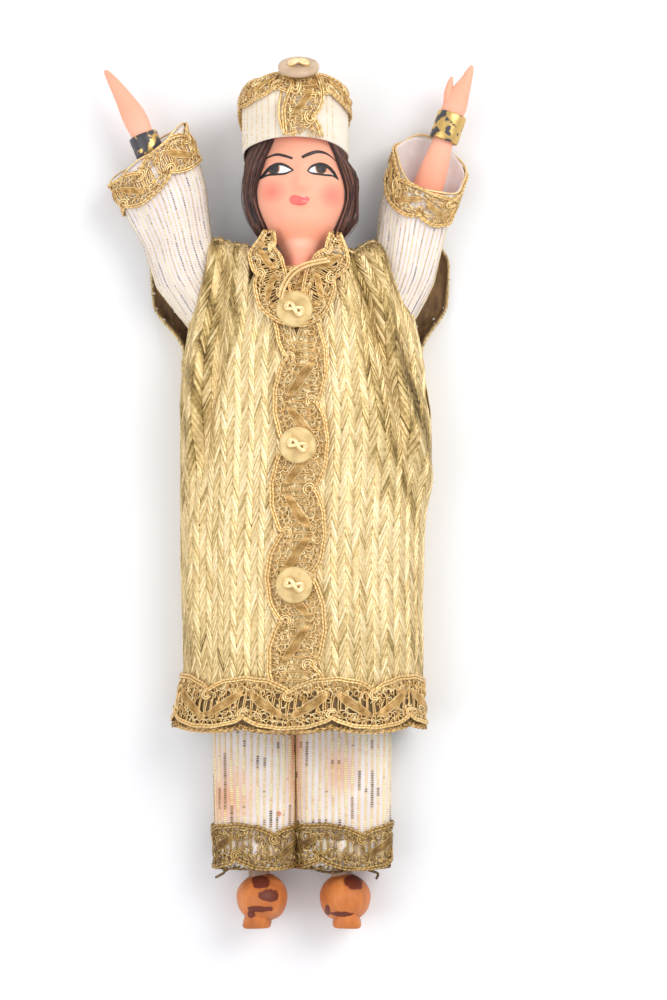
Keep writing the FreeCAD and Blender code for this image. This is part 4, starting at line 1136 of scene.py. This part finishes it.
def make_hand(side):
    """Vinyl forearm with a mitten hand; the left one has a thumb."""
    vertices, faces = arm_loft(side, curve_through(HANDS[side], 60))
    if side == "left":
        more, extra = arm_loft(side, curve_through(THUMB, 16))
        faces = faces + [tuple(k + len(vertices) for k in face) for face in extra]
        vertices = np.vstack([vertices, more])
    elbow, wrist = arm_points(side, 40, 0, 0), arm_points(side, 62, 0, 3)
    # Patches: darker round the elbow, where the forearm goes under the sleeve, as painted shade; lighter on
    # top of the wrist as a painted highlight.
    skin = skin_material(f"{side}_hand_vinyl", [(tuple(elbow), (14, 12, 14), (0.95, 0.38, 0.24)),
                                                (tuple(wrist), (9, 9, 9), (0.97, 0.50, 0.36))])
    hand = add_piece(f"{side}_hand", vertices, faces, skin, f"{side}_forearm")
    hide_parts(f"{side}_forearm")


def make_bracelet(side, gold_share, half_length):
    """A strip with rounded edges round the wrist."""
    _, direction, _ = arm_frame(side)
    centre = middle(f"{side}_bracelet")
    rim = [(3.42, -0.93), (3.6, -1.0), (4.25, -1.0), (4.45, -0.93), (4.5, -0.45), (4.42, 0), (4.5, 0.45),
           (4.45, 0.93), (4.25, 1.0), (3.6, 1.0), (3.42, 0.93), (3.42, -0.93)]
    rim = [(radius, share * half_length) for radius, share in rim]
    vertices, faces = lathe(rim, centre, direction)
    leather = bracelet_material(f"{side}_bracelet_leaf", gold_share)
    piece = add_piece(f"{side}_bracelet_band", vertices, faces, leather, f"{side}_forearm")
    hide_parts(f"{side}_bracelet")


# ---------------------------------------------------------------- legs

LEG_WIDTHS = {"right": (-13.7, 12.4), "left": (12.8, 14.3)}
SPLIT_X = -1.5
LOOSE_ENDS = {  # places that the untidy ends of the cuff cords run through
    "right": [[(-24.6, -107.5, 17.0), (-24.0, -110.0, 17.0), (-22.8, -112.0, 16.2),
               (-25.6, -113.9, 15.4)],
              [(-23.0, -112.0, 16.4), (-20.6, -110.6, 17.2), (-19.0, -110.9, 17.2),
               (-15.6, -110.2, 17.6)]],
    "left": [[(2.6, -110.0, 17.4), (6.0, -111.6, 17.8), (10.5, -111.9, 18.4), (14.6, -111.0, 18.0),
              (18.4, -109.8, 17.4)],
             [(17.5, -109.8, 17.2), (20.5, -111.4, 16.6), (23.4, -112.6, 15.8), (22.9, -114.4, 15.2)]],
}


def trouser_skin(side):
    """Flat-sided tube; across 0 is the middle of the front, and along 1 is the top."""
    centre, half = LEG_WIDTHS[side]
    top = box_mm(f"{side}_trouser_leg")[1][1]
    bottom = box_mm(f"{side}_trouser_lace")[0][1]
    turn = np.linspace(0, 2 * np.pi, 97)
    rows = []
    for y in np.linspace(bottom + 0.5, top, 61):
        bulge = 1 + 0.03 * np.sin((y + 100) * 0.055) - 0.03 * smooth(-y, 95, 108)
        ripple = 1 + 0.02 * np.sin(turn * 6 + y * 0.06) + 0.012 * np.sin(turn * 11 - y * 0.04)
        sin = np.sign(np.sin(turn)) * np.abs(np.sin(turn)) ** 0.85
        cos = np.sign(np.cos(turn)) * np.abs(np.cos(turn)) ** 0.85
        x = centre * (1 - 0.07 * smooth(y, -60, -28)) + half * bulge * sin * ripple
        x = np.minimum(x, SPLIT_X - 0.15) if side == "right" else np.maximum(x, SPLIT_X + 0.15)
        z = 10.6 + 8.4 * cos * ripple
        rows.append(evenly(np.stack([x, np.full_like(x, y), z], axis=1), 97))
    return Skin(rows, closed=True)


def make_trouser(side):
    """Striped trouser leg, with lace round its end that rides on the shin."""
    skin = trouser_skin(side)
    thigh, shin = f"{side}_thigh", f"{side}_shin"
    threads = {"pitch": 1.9, "dash": 0.66, "seed": 31 + SIDES[side], "wide": 0.7,
               "tones": (0.16, 0.76, 1.0), "fade": 0.04}
    cloth, floats = striped_tube(f"{side}_trouser", skin, TROUSER, threads)
    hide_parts(f"{side}_trouser_leg")
    lace = Strands()
    length = skin.across_mm
    reach = skin.along_mm
    half = 6.9

    def place(along, across, height):
        return skin.at(along / length, (half - 0.2 + across) / reach, height)

    trim(lace, place, length, half, length / 3, 6.0, dense=1.2, cord=0.44, fringe=-1)
    for points in LOOSE_ENDS[side]:
        cord = curve_through(points, 30)
        lace.add(cord, 0.42, tone=(0.16 + 0.16 * np.sin(np.arange(30) * 2.0))[None], sides=6)
    braid = lace.piece(f"{side}_leg_braid", DARK_LACE, shin, "gold_lace")
    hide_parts(f"{side}_trouser_lace")


SHOES = {  # steps sideways to the middles of bulb and sole; scorches as (place from the bulb's top, reach)
    "right": {"bulb": 1.3, "sole": -1.9, "scorches": [
        ((-11.9, -114.8, -3.5), (3.0, 1.9, 9)), ((-9.3, -118.6, -1.5), (3.6, 2.0, 9)),
        ((-11.9, -122.6, -3), (4.2, 1.2, 7)), ((-14.6, -124.2, -4), (1.3, 1.6, 7))]},
    "left": {"bulb": 0.7, "sole": 0.9, "scorches": [
        ((16.4, -114.8, -5), (3.4, 2.6, 7)), ((12.6, -124.2, -4), (3.6, 1.0, 7)),
        ((8.2, -123.6, -5), (1.0, 2.0, 7))]},
}


def shoe_bulb(side, centre, half):
    """Onion-shaped bulb: full below its middle and drawn in towards the ankle."""
    sections = []
    for turn in np.linspace(0, 1, 34) * np.pi:
        wide = max(math.sin(turn) ** (1.25 if turn < math.pi / 2 else 0.66), 0.04)
        y = centre[1] + half[1] * math.cos(turn)
        ring_centre = (centre[0] + 0.4 * SIDES[side] * math.sin(turn), y, centre[2])
        sections.append((ring_centre, (half[0] * wide * 1.02, 0, 0), (0, 0, -half[2] * wide)))
    vertices, faces = loft(sections[::-1], 40)
    return vertices, [tuple(reversed(face)) for face in faces]


def shoe_sole(side, centre):
    """Chamfered tab under the bulb, from its top down to its tip."""
    tip, top = (corner[1] for corner in box_mm(f"{side}_shoe_sole"))
    x = centre[0] + SHOES[side]["sole"]
    blocks = [(top + 4.4, 1.23, 8.6), (top + 3.2, 2.542, 8.9), (top + 1.2, 3.772, 8.9),
              (tip + 0.7, 4.346, 8.4), (tip + 0.2, 4.1, 8.0), (tip, 3.69, 7.4)]
    shaped = [((x, y, centre[2] - 0.4), (wide, 0, 0.6 * SIDES[side]), (0, 0, deep))
              for y, wide, deep in blocks]
    return loft(shaped, 24, 0.35)


def make_shoe(side):
    """Bulb of turned wood with a sole tab, both stained and scorched."""
    low, high = box_mm(f"{side}_shoe")
    centre = (low + high) / 2 + np.array([SHOES[side]["bulb"], 0, 0])
    spots = [((x, y, high[2] + z), reach) for (x, y, z), reach in SHOES[side]["scorches"]]
    mat = shoe_material(f"{side}_shoe_stain", spots)
    body = f"{side}_shin"
    vertices, faces = shoe_bulb(side, centre, (high - low) / 2)
    shoe = add_piece(f"{side}_shoe_bulb", vertices, faces, mat, body)
    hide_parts(f"{side}_shoe")
    vertices, faces = shoe_sole(side, centre)
    tab = add_piece(f"{side}_shoe_tab", vertices, faces, mat, body)
    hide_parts(f"{side}_shoe_sole")


# ---------------------------------------------------------------- head

FACE_X, HEAD_Z = 0.3, 16.6
FACE_DROP = -1.1  # the painted face sits this much lower than its listed heights
CAP_X, CAP_Z, CAP_R = -1.5, 16.8, 16.0
CAP_SHOULDER, CAP_TOP, CAP_CORNER = 118.8, 127.0, 8.2
HEAD_ROWS = [  # (y, half width, half depth, forward shift)
    (66.5, 5.3, 7.4, 3.4), (71, 5.3, 7.6, 3.6), (74, 6.0, 8.0, 3.6), (76.5, 7.0, 9.0, 3.2),
    (78.5, 8.6, 10.2, 2.6), (80.5, 10.1, 11.5, 2.1), (82.5, 11.3, 12.4, 1.6), (85, 12.5, 13.2, 1.1),
    (87.5, 13.4, 13.7, 0.6), (90, 13.8, 14.0, 0.3), (93.5, 14.0, 14.3, 0.0), (97, 13.7, 14.2, 0.0),
    (101, 12.9, 13.8, 0.0), (105, 12.2, 13.2, 0.0), (109, 11.6, 12.6, 0.0), (113, 9.0, 10.0, 0.0),
    (116, 5.5, 6.2, 0.0), (117, 1.2, 1.4, 0.0)]
MOULDING = [  # (x, y, half width, half height, height) of each swelling or hollow of the face
    (0.0, 94.6, 1.9, 1.9, 1.5), (0.0, 97.5, 1.4, 3.6, 0.9), (-1.6, 94.0, 1.1, 0.9, 0.35),
    (1.6, 94.0, 1.1, 0.9, 0.35), (-6.9, 99.2, 3.6, 2.4, -0.75), (6.9, 99.2, 3.6, 2.4, -0.75),
    (0.0, 90.9, 2.7, 0.8, 0.75), (0.0, 89.2, 2.3, 0.9, 0.8), (0.0, 87.2, 2.6, 0.8, -0.25),
    (0.0, 84.6, 3.6, 2.2, 0.35), (-7.6, 92.0, 3.6, 3.4, 0.5), (7.6, 92.0, 3.6, 3.4, 0.5),
    (-6.5, 104.0, 4.5, 1.6, 0.35), (6.5, 104.0, 4.5, 1.6, 0.35)]
HEAD_LINE = curve_through(HEAD_ROWS, 400)


def head_section(y):
    """Half width, half depth and forward shift of the head at a height."""
    return tuple(np.interp(y, HEAD_LINE[:, 0], HEAD_LINE[:, k]) for k in (1, 2, 3))


def moulded(x, y):
    """Height that the nose, lips, cheeks and brow add to the face."""
    total = np.zeros(np.broadcast(x, y).shape)
    for mx, my, half_x, half_y, height in MOULDING:
        total += height * np.exp(-((x - FACE_X - mx) / half_x) ** 2 - ((y - my - FACE_DROP) / half_y) ** 2)
    return total


def face_z(x, y):
    """Height of the face at a place seen from the front."""
    wide, deep, shift = head_section(y)
    share = np.clip((x - FACE_X) / wide, -0.999, 0.999)
    return HEAD_Z + shift + deep * np.sqrt(1 - share ** 2) + moulded(x, y)


def make_head():
    """Moulded face, skull and neck in one skin."""
    turn = np.linspace(0, 2 * np.pi, 145)[:-1]
    ys = evenly(np.array([(y, w) for y, w, _, _ in HEAD_ROWS], float), 150)[:, 0]
    rows = []
    for y in ys:
        wide, deep, shift = head_section(y)
        x = FACE_X + wide * np.sin(turn)
        z = HEAD_Z + shift * np.maximum(np.cos(turn), 0) + deep * np.cos(turn)
        front = np.maximum(np.cos(turn), 0) ** 0.5
        z = z + moulded(x, np.full_like(x, y)) * front
        rows.append(np.stack([x, np.full_like(x, y), z], axis=1))
    # Patches: blush on both cheeks, darker orange along the cap's rim, painted shade on the lower face and
    # in the neck's hollow, and a painted highlight just under the chin.
    mat = skin_material("head_vinyl", [((-8.0, 91.6, 28), (5.0, 4.0, 12), (0.98, 0.25, 0.18)),
                                       ((9.6, 90.6, 28), (4.6, 4.2, 12), (0.98, 0.26, 0.20)),
                                       ((0.4, 108.2, 30), (9, 2.6, 12), (0.95, 0.34, 0.22)),
                                       ((0.0, 79.5, 28), (13, 4.6, 14), (0.98, 0.36, 0.22)),
                                       ((0.4, 76.4, 27), (6, 1.8, 9), (1.0, 0.55, 0.41)),
                                       ((0.0, 70.0, 25), (8, 4.0, 12), (0.98, 0.34, 0.25))])
    head = add_piece("head_skin", np.vstack(rows), tube_faces(len(rows), len(turn)), mat, "head")
    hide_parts("head_shell")


def stroke(name, line, widths, material, height=0.1):
    """A brush stroke with its own width at each point."""
    spine = curve_through(line, 40)
    wide = np.interp(np.linspace(0, 1, 40), np.linspace(0, 1, len(widths)), widths)
    ahead = unit(np.gradient(spine, axis=0))
    side = np.stack([-ahead[:, 1], ahead[:, 0]], axis=1)
    painted(name, spine - side * wide[:, None], spine + side * wide[:, None], material, height)


def painted(name, low, high, material, height, steps=5):
    """Thin paint on the face between two lines of (x, y) places."""
    low, high = low + (0, FACE_DROP), high + (0, FACE_DROP)
    rows = []
    for share in np.linspace(0, 1, steps):
        flat = low * (1 - share) + high * share
        rows.append(np.column_stack([flat, face_z(flat[:, 0], flat[:, 1]) + height]))
    skin = Skin(rows)
    if skin.normal[2, len(low) // 2, 2] < 0:
        skin = Skin(skin.points[::-1])
    skin.cloth(name, material, "head", "skin", PAINT)


EYES = {  # lines of (x, y) places, and half widths along the brush strokes
    "right": {
        "lower": [(-13.0, 96.6), (-11.4, 97.3), (-9.4, 97.9), (-7.0, 97.9), (-4.4, 98.0), (-1.9, 98.9)],
        "upper": [(-13.0, 96.6), (-11.0, 98.0), (-9.4, 99.6), (-7.9, 100.6), (-6.0, 100.95), (-4.0, 100.3),
                  (-1.9, 98.9)],
        "iris": (-7.7, 99.45),
        "radius": 1.45,
        "brow": [(-11.2, 102.1), (-9.6, 103.2), (-7.0, 103.8), (-4.6, 103.3), (-2.1, 102.4)],
        "brow_widths": [0.1, 0.26, 0.38, 0.4, 0.32],
        "liner_widths": [0.06, 0.4, 0.55, 0.5, 0.4, 0.34, 0.2],
    },
    "left": {
        "lower": [(2.4, 98.7), (3.6, 98.1), (5.9, 97.85), (8.4, 97.7), (10.0, 97.6), (11.6, 96.7)],
        "upper": [(2.4, 98.7), (3.4, 99.9), (4.7, 100.6), (6.4, 100.95), (8.2, 100.4), (9.8, 99.0),
                  (11.6, 96.7)],
        "iris": (6.4, 99.75),
        "radius": 1.5,
        "brow": [(0.7, 102.7), (2.7, 103.7), (5.2, 104.5), (7.5, 104.3), (9.3, 103.4), (11.0, 102.0)],
        "brow_widths": [0.42, 0.52, 0.48, 0.36, 0.18, 0.05],
        "liner_widths": [0.2, 0.36, 0.4, 0.44, 0.52, 0.45, 0.06],
    },
}


def make_eye(side, lower, upper, iris, radius, brow, brow_widths, liner_widths):
    """Almond of white under a heavy painted lid, with a dark iris that meets the lid."""
    painted(f"{side}_eye_white", curve_through(lower, 40), curve_through(upper, 40), EYE_WHITE, 0.05, 7)
    low = curve_through(lower, 80)
    high = curve_through(upper, 80)
    discs = (("iris_rim", 1.2 * radius, IRIS_BROWN, 0.09), ("iris", radius, IRIS, 0.12))
    for name, wide, mat, height in discs:
        x = np.linspace(-0.995, 0.995, 40) * wide + iris[0]
        half = np.sqrt(np.maximum(wide ** 2 - (x - iris[0]) ** 2, 0))
        bottom = np.maximum(iris[1] - half, np.interp(x, low[:, 0], low[:, 1]))
        top = np.minimum(iris[1] + half + 0.5, np.interp(x, high[:, 0], high[:, 1]))
        top = np.maximum(top, bottom + 0.01)
        painted(f"{side}_{name}", np.column_stack([x, bottom]), np.column_stack([x, top]), mat, height)
    stroke(f"{side}_upper_liner", upper, liner_widths, INK, 0.16)
    stroke(f"{side}_lower_liner", lower, [0.16, 0.32, 0.3, 0.28, 0.16], INK, 0.15)
    stroke(f"{side}_brow", brow, brow_widths, INK, 0.09)


def make_face():
    """Both eyes and the mouth."""
    for side, shapes in EYES.items():
        make_eye(side, **shapes)
    low_lip = [(-3.1, 90.0), (-2.5, 89.1), (-0.9, 88.5), (0.6, 88.45), (2.0, 88.9), (3.0, 90.1)]
    high_lip = [(-3.1, 90.1), (-2.4, 91.2), (-1.3, 91.4), (0.2, 91.0), (1.6, 91.1), (2.6, 90.8),
                (3.0, 90.2)]
    painted("lips", curve_through(low_lip, 40), curve_through(high_lip, 40), LIPS, 0.1, 7)
    parting = [(-2.5, 90.1), (-0.8, 89.9), (0.4, 90.0), (1.6, 89.85), (2.6, 90.1)]
    stroke("lip_parting", parting, [0.03, 0.08, 0.08, 0.03], LIP_LINE, 0.2)
    stroke("lip_shine", [(0.5, 90.85), (1.3, 90.9), (2.0, 90.6)], [0.06, 0.2, 0.06], LIP_SHINE, 0.2)


HAIR_WIDTH = [(74.5, 9.0), (76.5, 10.6), (78.2, 12.0), (80.4, 13.7), (84, 15.4), (89, 16.7), (94.5, 17.1),
              (101, 16.7), (107, 15.3), (113, 14.2), (118, 10.0)]
HAIR_PART = [(74.5, 70.0), (79.3, 66.0), (81.6, 62.0), (85, 65.0), (88.5, 68.0), (92, 68.0), (96.5, 59.0),
             (100, 52.0), (103.4, 46.0), (107.5, 37.0), (112, 24.0), (118, 10.0)]


STRAYS = [  # (how many, side, top and low end, how far out, furthest back in degrees) of stray hairs
    (34, 1, (103, 79), (0.3, 3.2), 100), (8, -1, (100, 80), (0.2, 1.4), 95)]


def hair_point(turn, y, lift):
    """turn in degrees from the middle of the face; y is the height on the head; lift is outward."""
    turn, y, lift = np.broadcast_arrays(turn, y, lift)
    wide = ramp(y, HAIR_WIDTH) + lift
    angle = np.radians(turn)
    deep = wide * 0.98
    z = HEAD_Z + deep * np.cos(angle) * 0.97
    x = FACE_X + wide * np.sin(angle)
    reach = np.hypot(x - CAP_X, z - CAP_Z)
    rim = 103.2 - 4.4 * (CAP_Z - z) / CAP_R
    largest = CAP_R - 0.9 + 4.0 * (1 - smooth(y - rim, -8.0, -0.6))
    room = np.minimum(reach, largest) / np.maximum(reach, 0.1)
    x = CAP_X + (x - CAP_X) * room
    z = CAP_Z + (z - CAP_Z) * room
    return np.stack([x, y, np.maximum(z, 0.8)], axis=-1)


def make_hair_mass():
    """The solid under the strands, thinner towards the parting."""
    rows = []
    for y in np.linspace(77.0, 116, 60):
        part = ramp(y, HAIR_PART)
        turn = np.linspace(part, 360 - part, 90)
        edges = np.exp(-((turn - part) / 6) ** 2) + np.exp(-((360 - part - turn) / 6) ** 2)
        rows.append(hair_point(turn, y, -0.8 - 1.6 * edges))
    mass = Skin(rows).cloth("hair_mass", HAIR, "head", "hair", 2.2)
    tones = mass.data.attributes.new("tone", "FLOAT", "POINT")
    tones.data.foreach_set("value", [0.25] * len(mass.data.vertices))


def add_hairs(strands, number):
    """Wavy strands from under the cap down to the shoulders."""
    t = np.linspace(0, 1, 12)
    share = rng.uniform(0, 1, number)
    top = rng.uniform(104, 114, number)
    end = rng.uniform(76.5, 81.0, number)
    y = top[:, None] + (end - top)[:, None] * t[None]
    part = ramp(y, HAIR_PART)
    wobble = 2.2 * np.sin(t[None] * rng.uniform(3, 8, (number, 1)) + rng.uniform(0, 6, (number, 1)))
    turn = part + 1.0 + (358 - 2 * part) * share[:, None] + wobble * (0.3 + t[None])
    lift = rng.uniform(-0.9, 0.25, number)[:, None]
    edge = np.minimum(share, 1 - share)[:, None]
    lift = lift - 1.3 * np.exp(-(edge / 0.018) ** 2)
    thick, tones = rng.uniform(0.16, 0.34, number), rng.uniform(0.1, 0.95, number)
    strands.add(hair_point(turn, y, lift), thick, tone=tones, taper=0.25)


def make_hair():
    """A solid mass under separate strands, parted at the face, with a few stray hairs."""
    make_hair_mass()
    strands = Strands()
    add_hairs(strands, 1100)
    for count, sign, ends, reach, back in STRAYS:
        y = np.linspace(*ends, 14) + rng.normal(0, 1.5, (count, 1))
        out = rng.uniform(*reach, (count, 1)) * np.sin(np.linspace(0.2, 2.9, 14))
        strands.add(hair_point(sign * rng.uniform(72, back, (count, 1)), y, out), 0.07, tone=0.6, taper=0.4)
    locks = strands.piece("hair_strands", HAIR, "head", "hair")
    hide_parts("hair")


# ---------------------------------------------------------------- cap

def cap_profile(count):
    """Radius and height from the rim level to the middle of the top."""
    side = np.column_stack([np.full(20, CAP_R), np.linspace(103, CAP_SHOULDER, 20)])
    turn = np.linspace(0, np.pi / 2, 20)
    flat = CAP_R - CAP_CORNER
    corner = np.column_stack([flat + CAP_CORNER * np.cos(turn), CAP_SHOULDER + CAP_CORNER * np.sin(turn)])
    top = np.column_stack([np.linspace(flat, 0.3, 10), CAP_TOP + np.linspace(0, 0.8, 10)])
    return evenly(np.vstack([side, corner[1:], top[1:]]), count)


def cap_skin():
    """Across 0 is the middle of the back; along runs from the tilted rim to the top."""
    profile = cap_profile(70)
    turn = np.linspace(0, 2 * np.pi, 145)
    rows = []
    for share in np.linspace(0, 1, 70):
        index = share * 69
        radius = np.interp(index, np.arange(70), profile[:, 0])
        height = np.interp(index, np.arange(70), profile[:, 1])
        front = -np.cos(turn)
        rim = 4.6 * front * (1 - smooth(height, 103, 121))
        crease = 0.18 * np.sin(turn * 7 + share * 5) * (1 - share)
        x = CAP_X - (radius + crease) * np.sin(turn)
        z = CAP_Z + (radius + crease) * front * 0.985
        rows.append(np.stack([x, height + rim, z], axis=1))
    return Skin(rows, closed=True)


def cap_place(skin, x, y, height):
    """A place on the cap's front from its x and y."""
    share = (y - skin.points[0, 72, 1]) / (CAP_TOP - skin.points[0, 72, 1])
    turn = np.arcsin(np.clip((x - CAP_X) / CAP_R, -1, 1))
    return skin.at(0.5 + turn / (2 * np.pi), share, height)


def cap_places(skin, table):
    """Points on the cap's front from (x, y, height) rows."""
    x, y, height = np.array(table).T
    return cap_place(skin, x, y, height)


def make_cap_stripes(skin):
    """Faint lurex floats up the sides, mostly on the photo's left."""
    strands = Strands()
    lower = Skin(skin.points[:46], closed=True)
    local = np.random.default_rng(77)
    t = np.linspace(-0.007, 0.007, 3)
    for stripe in range(44):
        across = (stripe + 0.5) / 44
        if not (0.28 < across < 0.5 or local.uniform() < 0.25):
            continue
        along = np.linspace(0.02, 0.95, 44)
        along = along[local.uniform(0, 1, 44) < 0.75]
        tones = local.uniform(0.4, 0.8, len(along))
        strands.add(lower.at(across, along[:, None] + t, 0.08), 0.16, tone=tones)
    return strands.piece("cap_stripes", LUREX, "head", "thread")


def make_cap_band(skin, length):
    """Lace round the cap, higher in front than behind."""
    band = Strands()

    def place(along, across, height):
        share = along / length
        line = 0.44 - 0.16 * np.cos(share * 2 * np.pi)
        return skin.at(share, line + across / skin.along_mm, height)

    trim(band, place, length, 4.6, length / 6, 3.0, dense=1.25, cord=0.33)
    ring = band.piece("cap_band_braid", GOLD_LACE, "head", "gold_lace")
    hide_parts("cap_band_lace")
    return ring


def make_cap_front(skin):
    """Lace panel up the front, with a loose cord and a fan of threads under the button."""
    front = Strands()

    def place(along, across, height):
        return cap_place(skin, 0.8 + across, 107.7 + along, height + 0.5)

    trim(front, place, 20.0, 5.6, 13.0, 4.0, dense=1.4, cord=0.36)
    loose = [(-2.6, 126.5, 2.2), (-4.9, 121, 1.3), (-5.8, 114.5, 1.0), (-5.5, 110.5, 1.0),
             (-3.9, 108.0, 1.2), (-0.5, 108.4, 1.2)]
    front.add(curve_through(cap_places(skin, loose), 60), 0.42, tone=0.6, sides=6)
    for k in np.linspace(-1, 1, 9):
        fan = [(-0.4 + k * 1.2, 126.8, 2.0), (-1.0 + k * 3.0, 123.0, 1.8), (-1.8 + k * 4.6, 118.5, 1.2)]
        front.add(curve_through(cap_places(skin, fan), 14), 0.32, tone=0.55 + 0.3 * abs(k))
    panel = front.piece("cap_front_braid", GOLD_LACE, "head", "gold_lace")
    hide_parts("cap_front_lace")
    return panel


def make_cap():
    """Cloth cap with its stripes, band and front panel."""
    skin = cap_skin()
    cloth = skin.cloth("cap_cloth", CAP_CLOTH, "head", "cream_cloth", 0.5)
    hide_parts("cap")
    length = 2 * np.pi * CAP_R
    pieces = [make_cap_stripes(skin), make_cap_band(skin, length), make_cap_front(skin)]


# ---------------------------------------------------------------- carried-over parts

def finish_cad_parts():
    """Wood and wire for the inner parts that keep their CAD shape."""
    for node, piece in frame["nodes"].items():
        if piece.type == "MESH":
            piece.data.materials.clear()
            piece.data.materials.append(STEEL if node.endswith("_pin") else WOOD)


# ---------------------------------------------------------------- stage

def make_stage():
    """White floor under the puppet."""
    mesh = bpy.data.meshes.new("floor")
    size = 1.6
    corners = [(-size, -size, 0), (size, -size, 0), (size, size, 0), (-size, size, 0)]
    mesh.from_pydata(corners, [], [(0, 1, 2, 3)])
    whites = mottle((0.86, 0.86, 0.87), (0.88, 0.88, 0.89))
    mesh.materials.append(plain_material("paper_white", whites, 3.0, 0.9, bumpiness=0.0))
    floor = bpy.data.objects.new("floor", mesh)
    bpy.context.scene.collection.objects.link(floor)
    floor.location.z = min(0.0, cad_box[0][2]) - 0.0002


def add_light(name, place, size, power, tint=(1, 1, 1)):
    """A square lamp that points at the middle of the puppet."""
    data = bpy.data.lights.new(name, "AREA")
    data.size = size
    data.energy = power
    data.color = tint
    lamp = bpy.data.objects.new(name, data)
    bpy.context.scene.collection.objects.link(lamp)
    lamp.location = place
    lamp.rotation_euler = (-Vector(place)).to_track_quat("-Z", "Y").to_euler()


def make_lights():
    """Pale sky, a warm key lamp and a fill lamp."""
    world = bpy.data.worlds.new("studio")
    world.use_nodes = True
    sky = world.node_tree.nodes["Background"]
    sky.inputs["Color"].default_value = (0.95, 0.97, 1.0, 1)
    sky.inputs["Strength"].default_value = 0.86
    bpy.context.scene.world = world
    add_light("key", (0.55, 0.45, 0.75), 0.6, 5.0, (1.0, 0.98, 0.95))
    add_light("fill", (-0.6, -0.1, 0.7), 0.7, 2.4)
    bpy.context.scene.view_settings.view_transform = "Standard"


def make_camera():
    """Straight above the puppet, as in the photo."""
    data = bpy.data.cameras.new("camera")
    data.sensor_fit = "VERTICAL"
    data.sensor_height = 24.0
    data.lens = 72.0
    camera = bpy.data.objects.new("camera", data)
    bpy.context.scene.collection.objects.link(camera)
    camera.location = (0.01005, 0.0, 0.92)
    bpy.context.scene.camera = camera


# ---------------------------------------------------------------- assembly

make_camera()
finish_cad_parts()
robe = make_robe_front()
make_robe_back()
make_hem()
make_placket(robe)
make_collar()
make_buttons()
for side in SIDES:
    make_sleeve(side)
    make_hand(side)
    make_trouser(side)
    make_shoe(side)
make_bracelet("right", 0.43, 3.2)
make_bracelet("left", 0.53, 4.3)
make_head()
make_face()
make_hair()
make_cap()
make_stage()
make_lights()
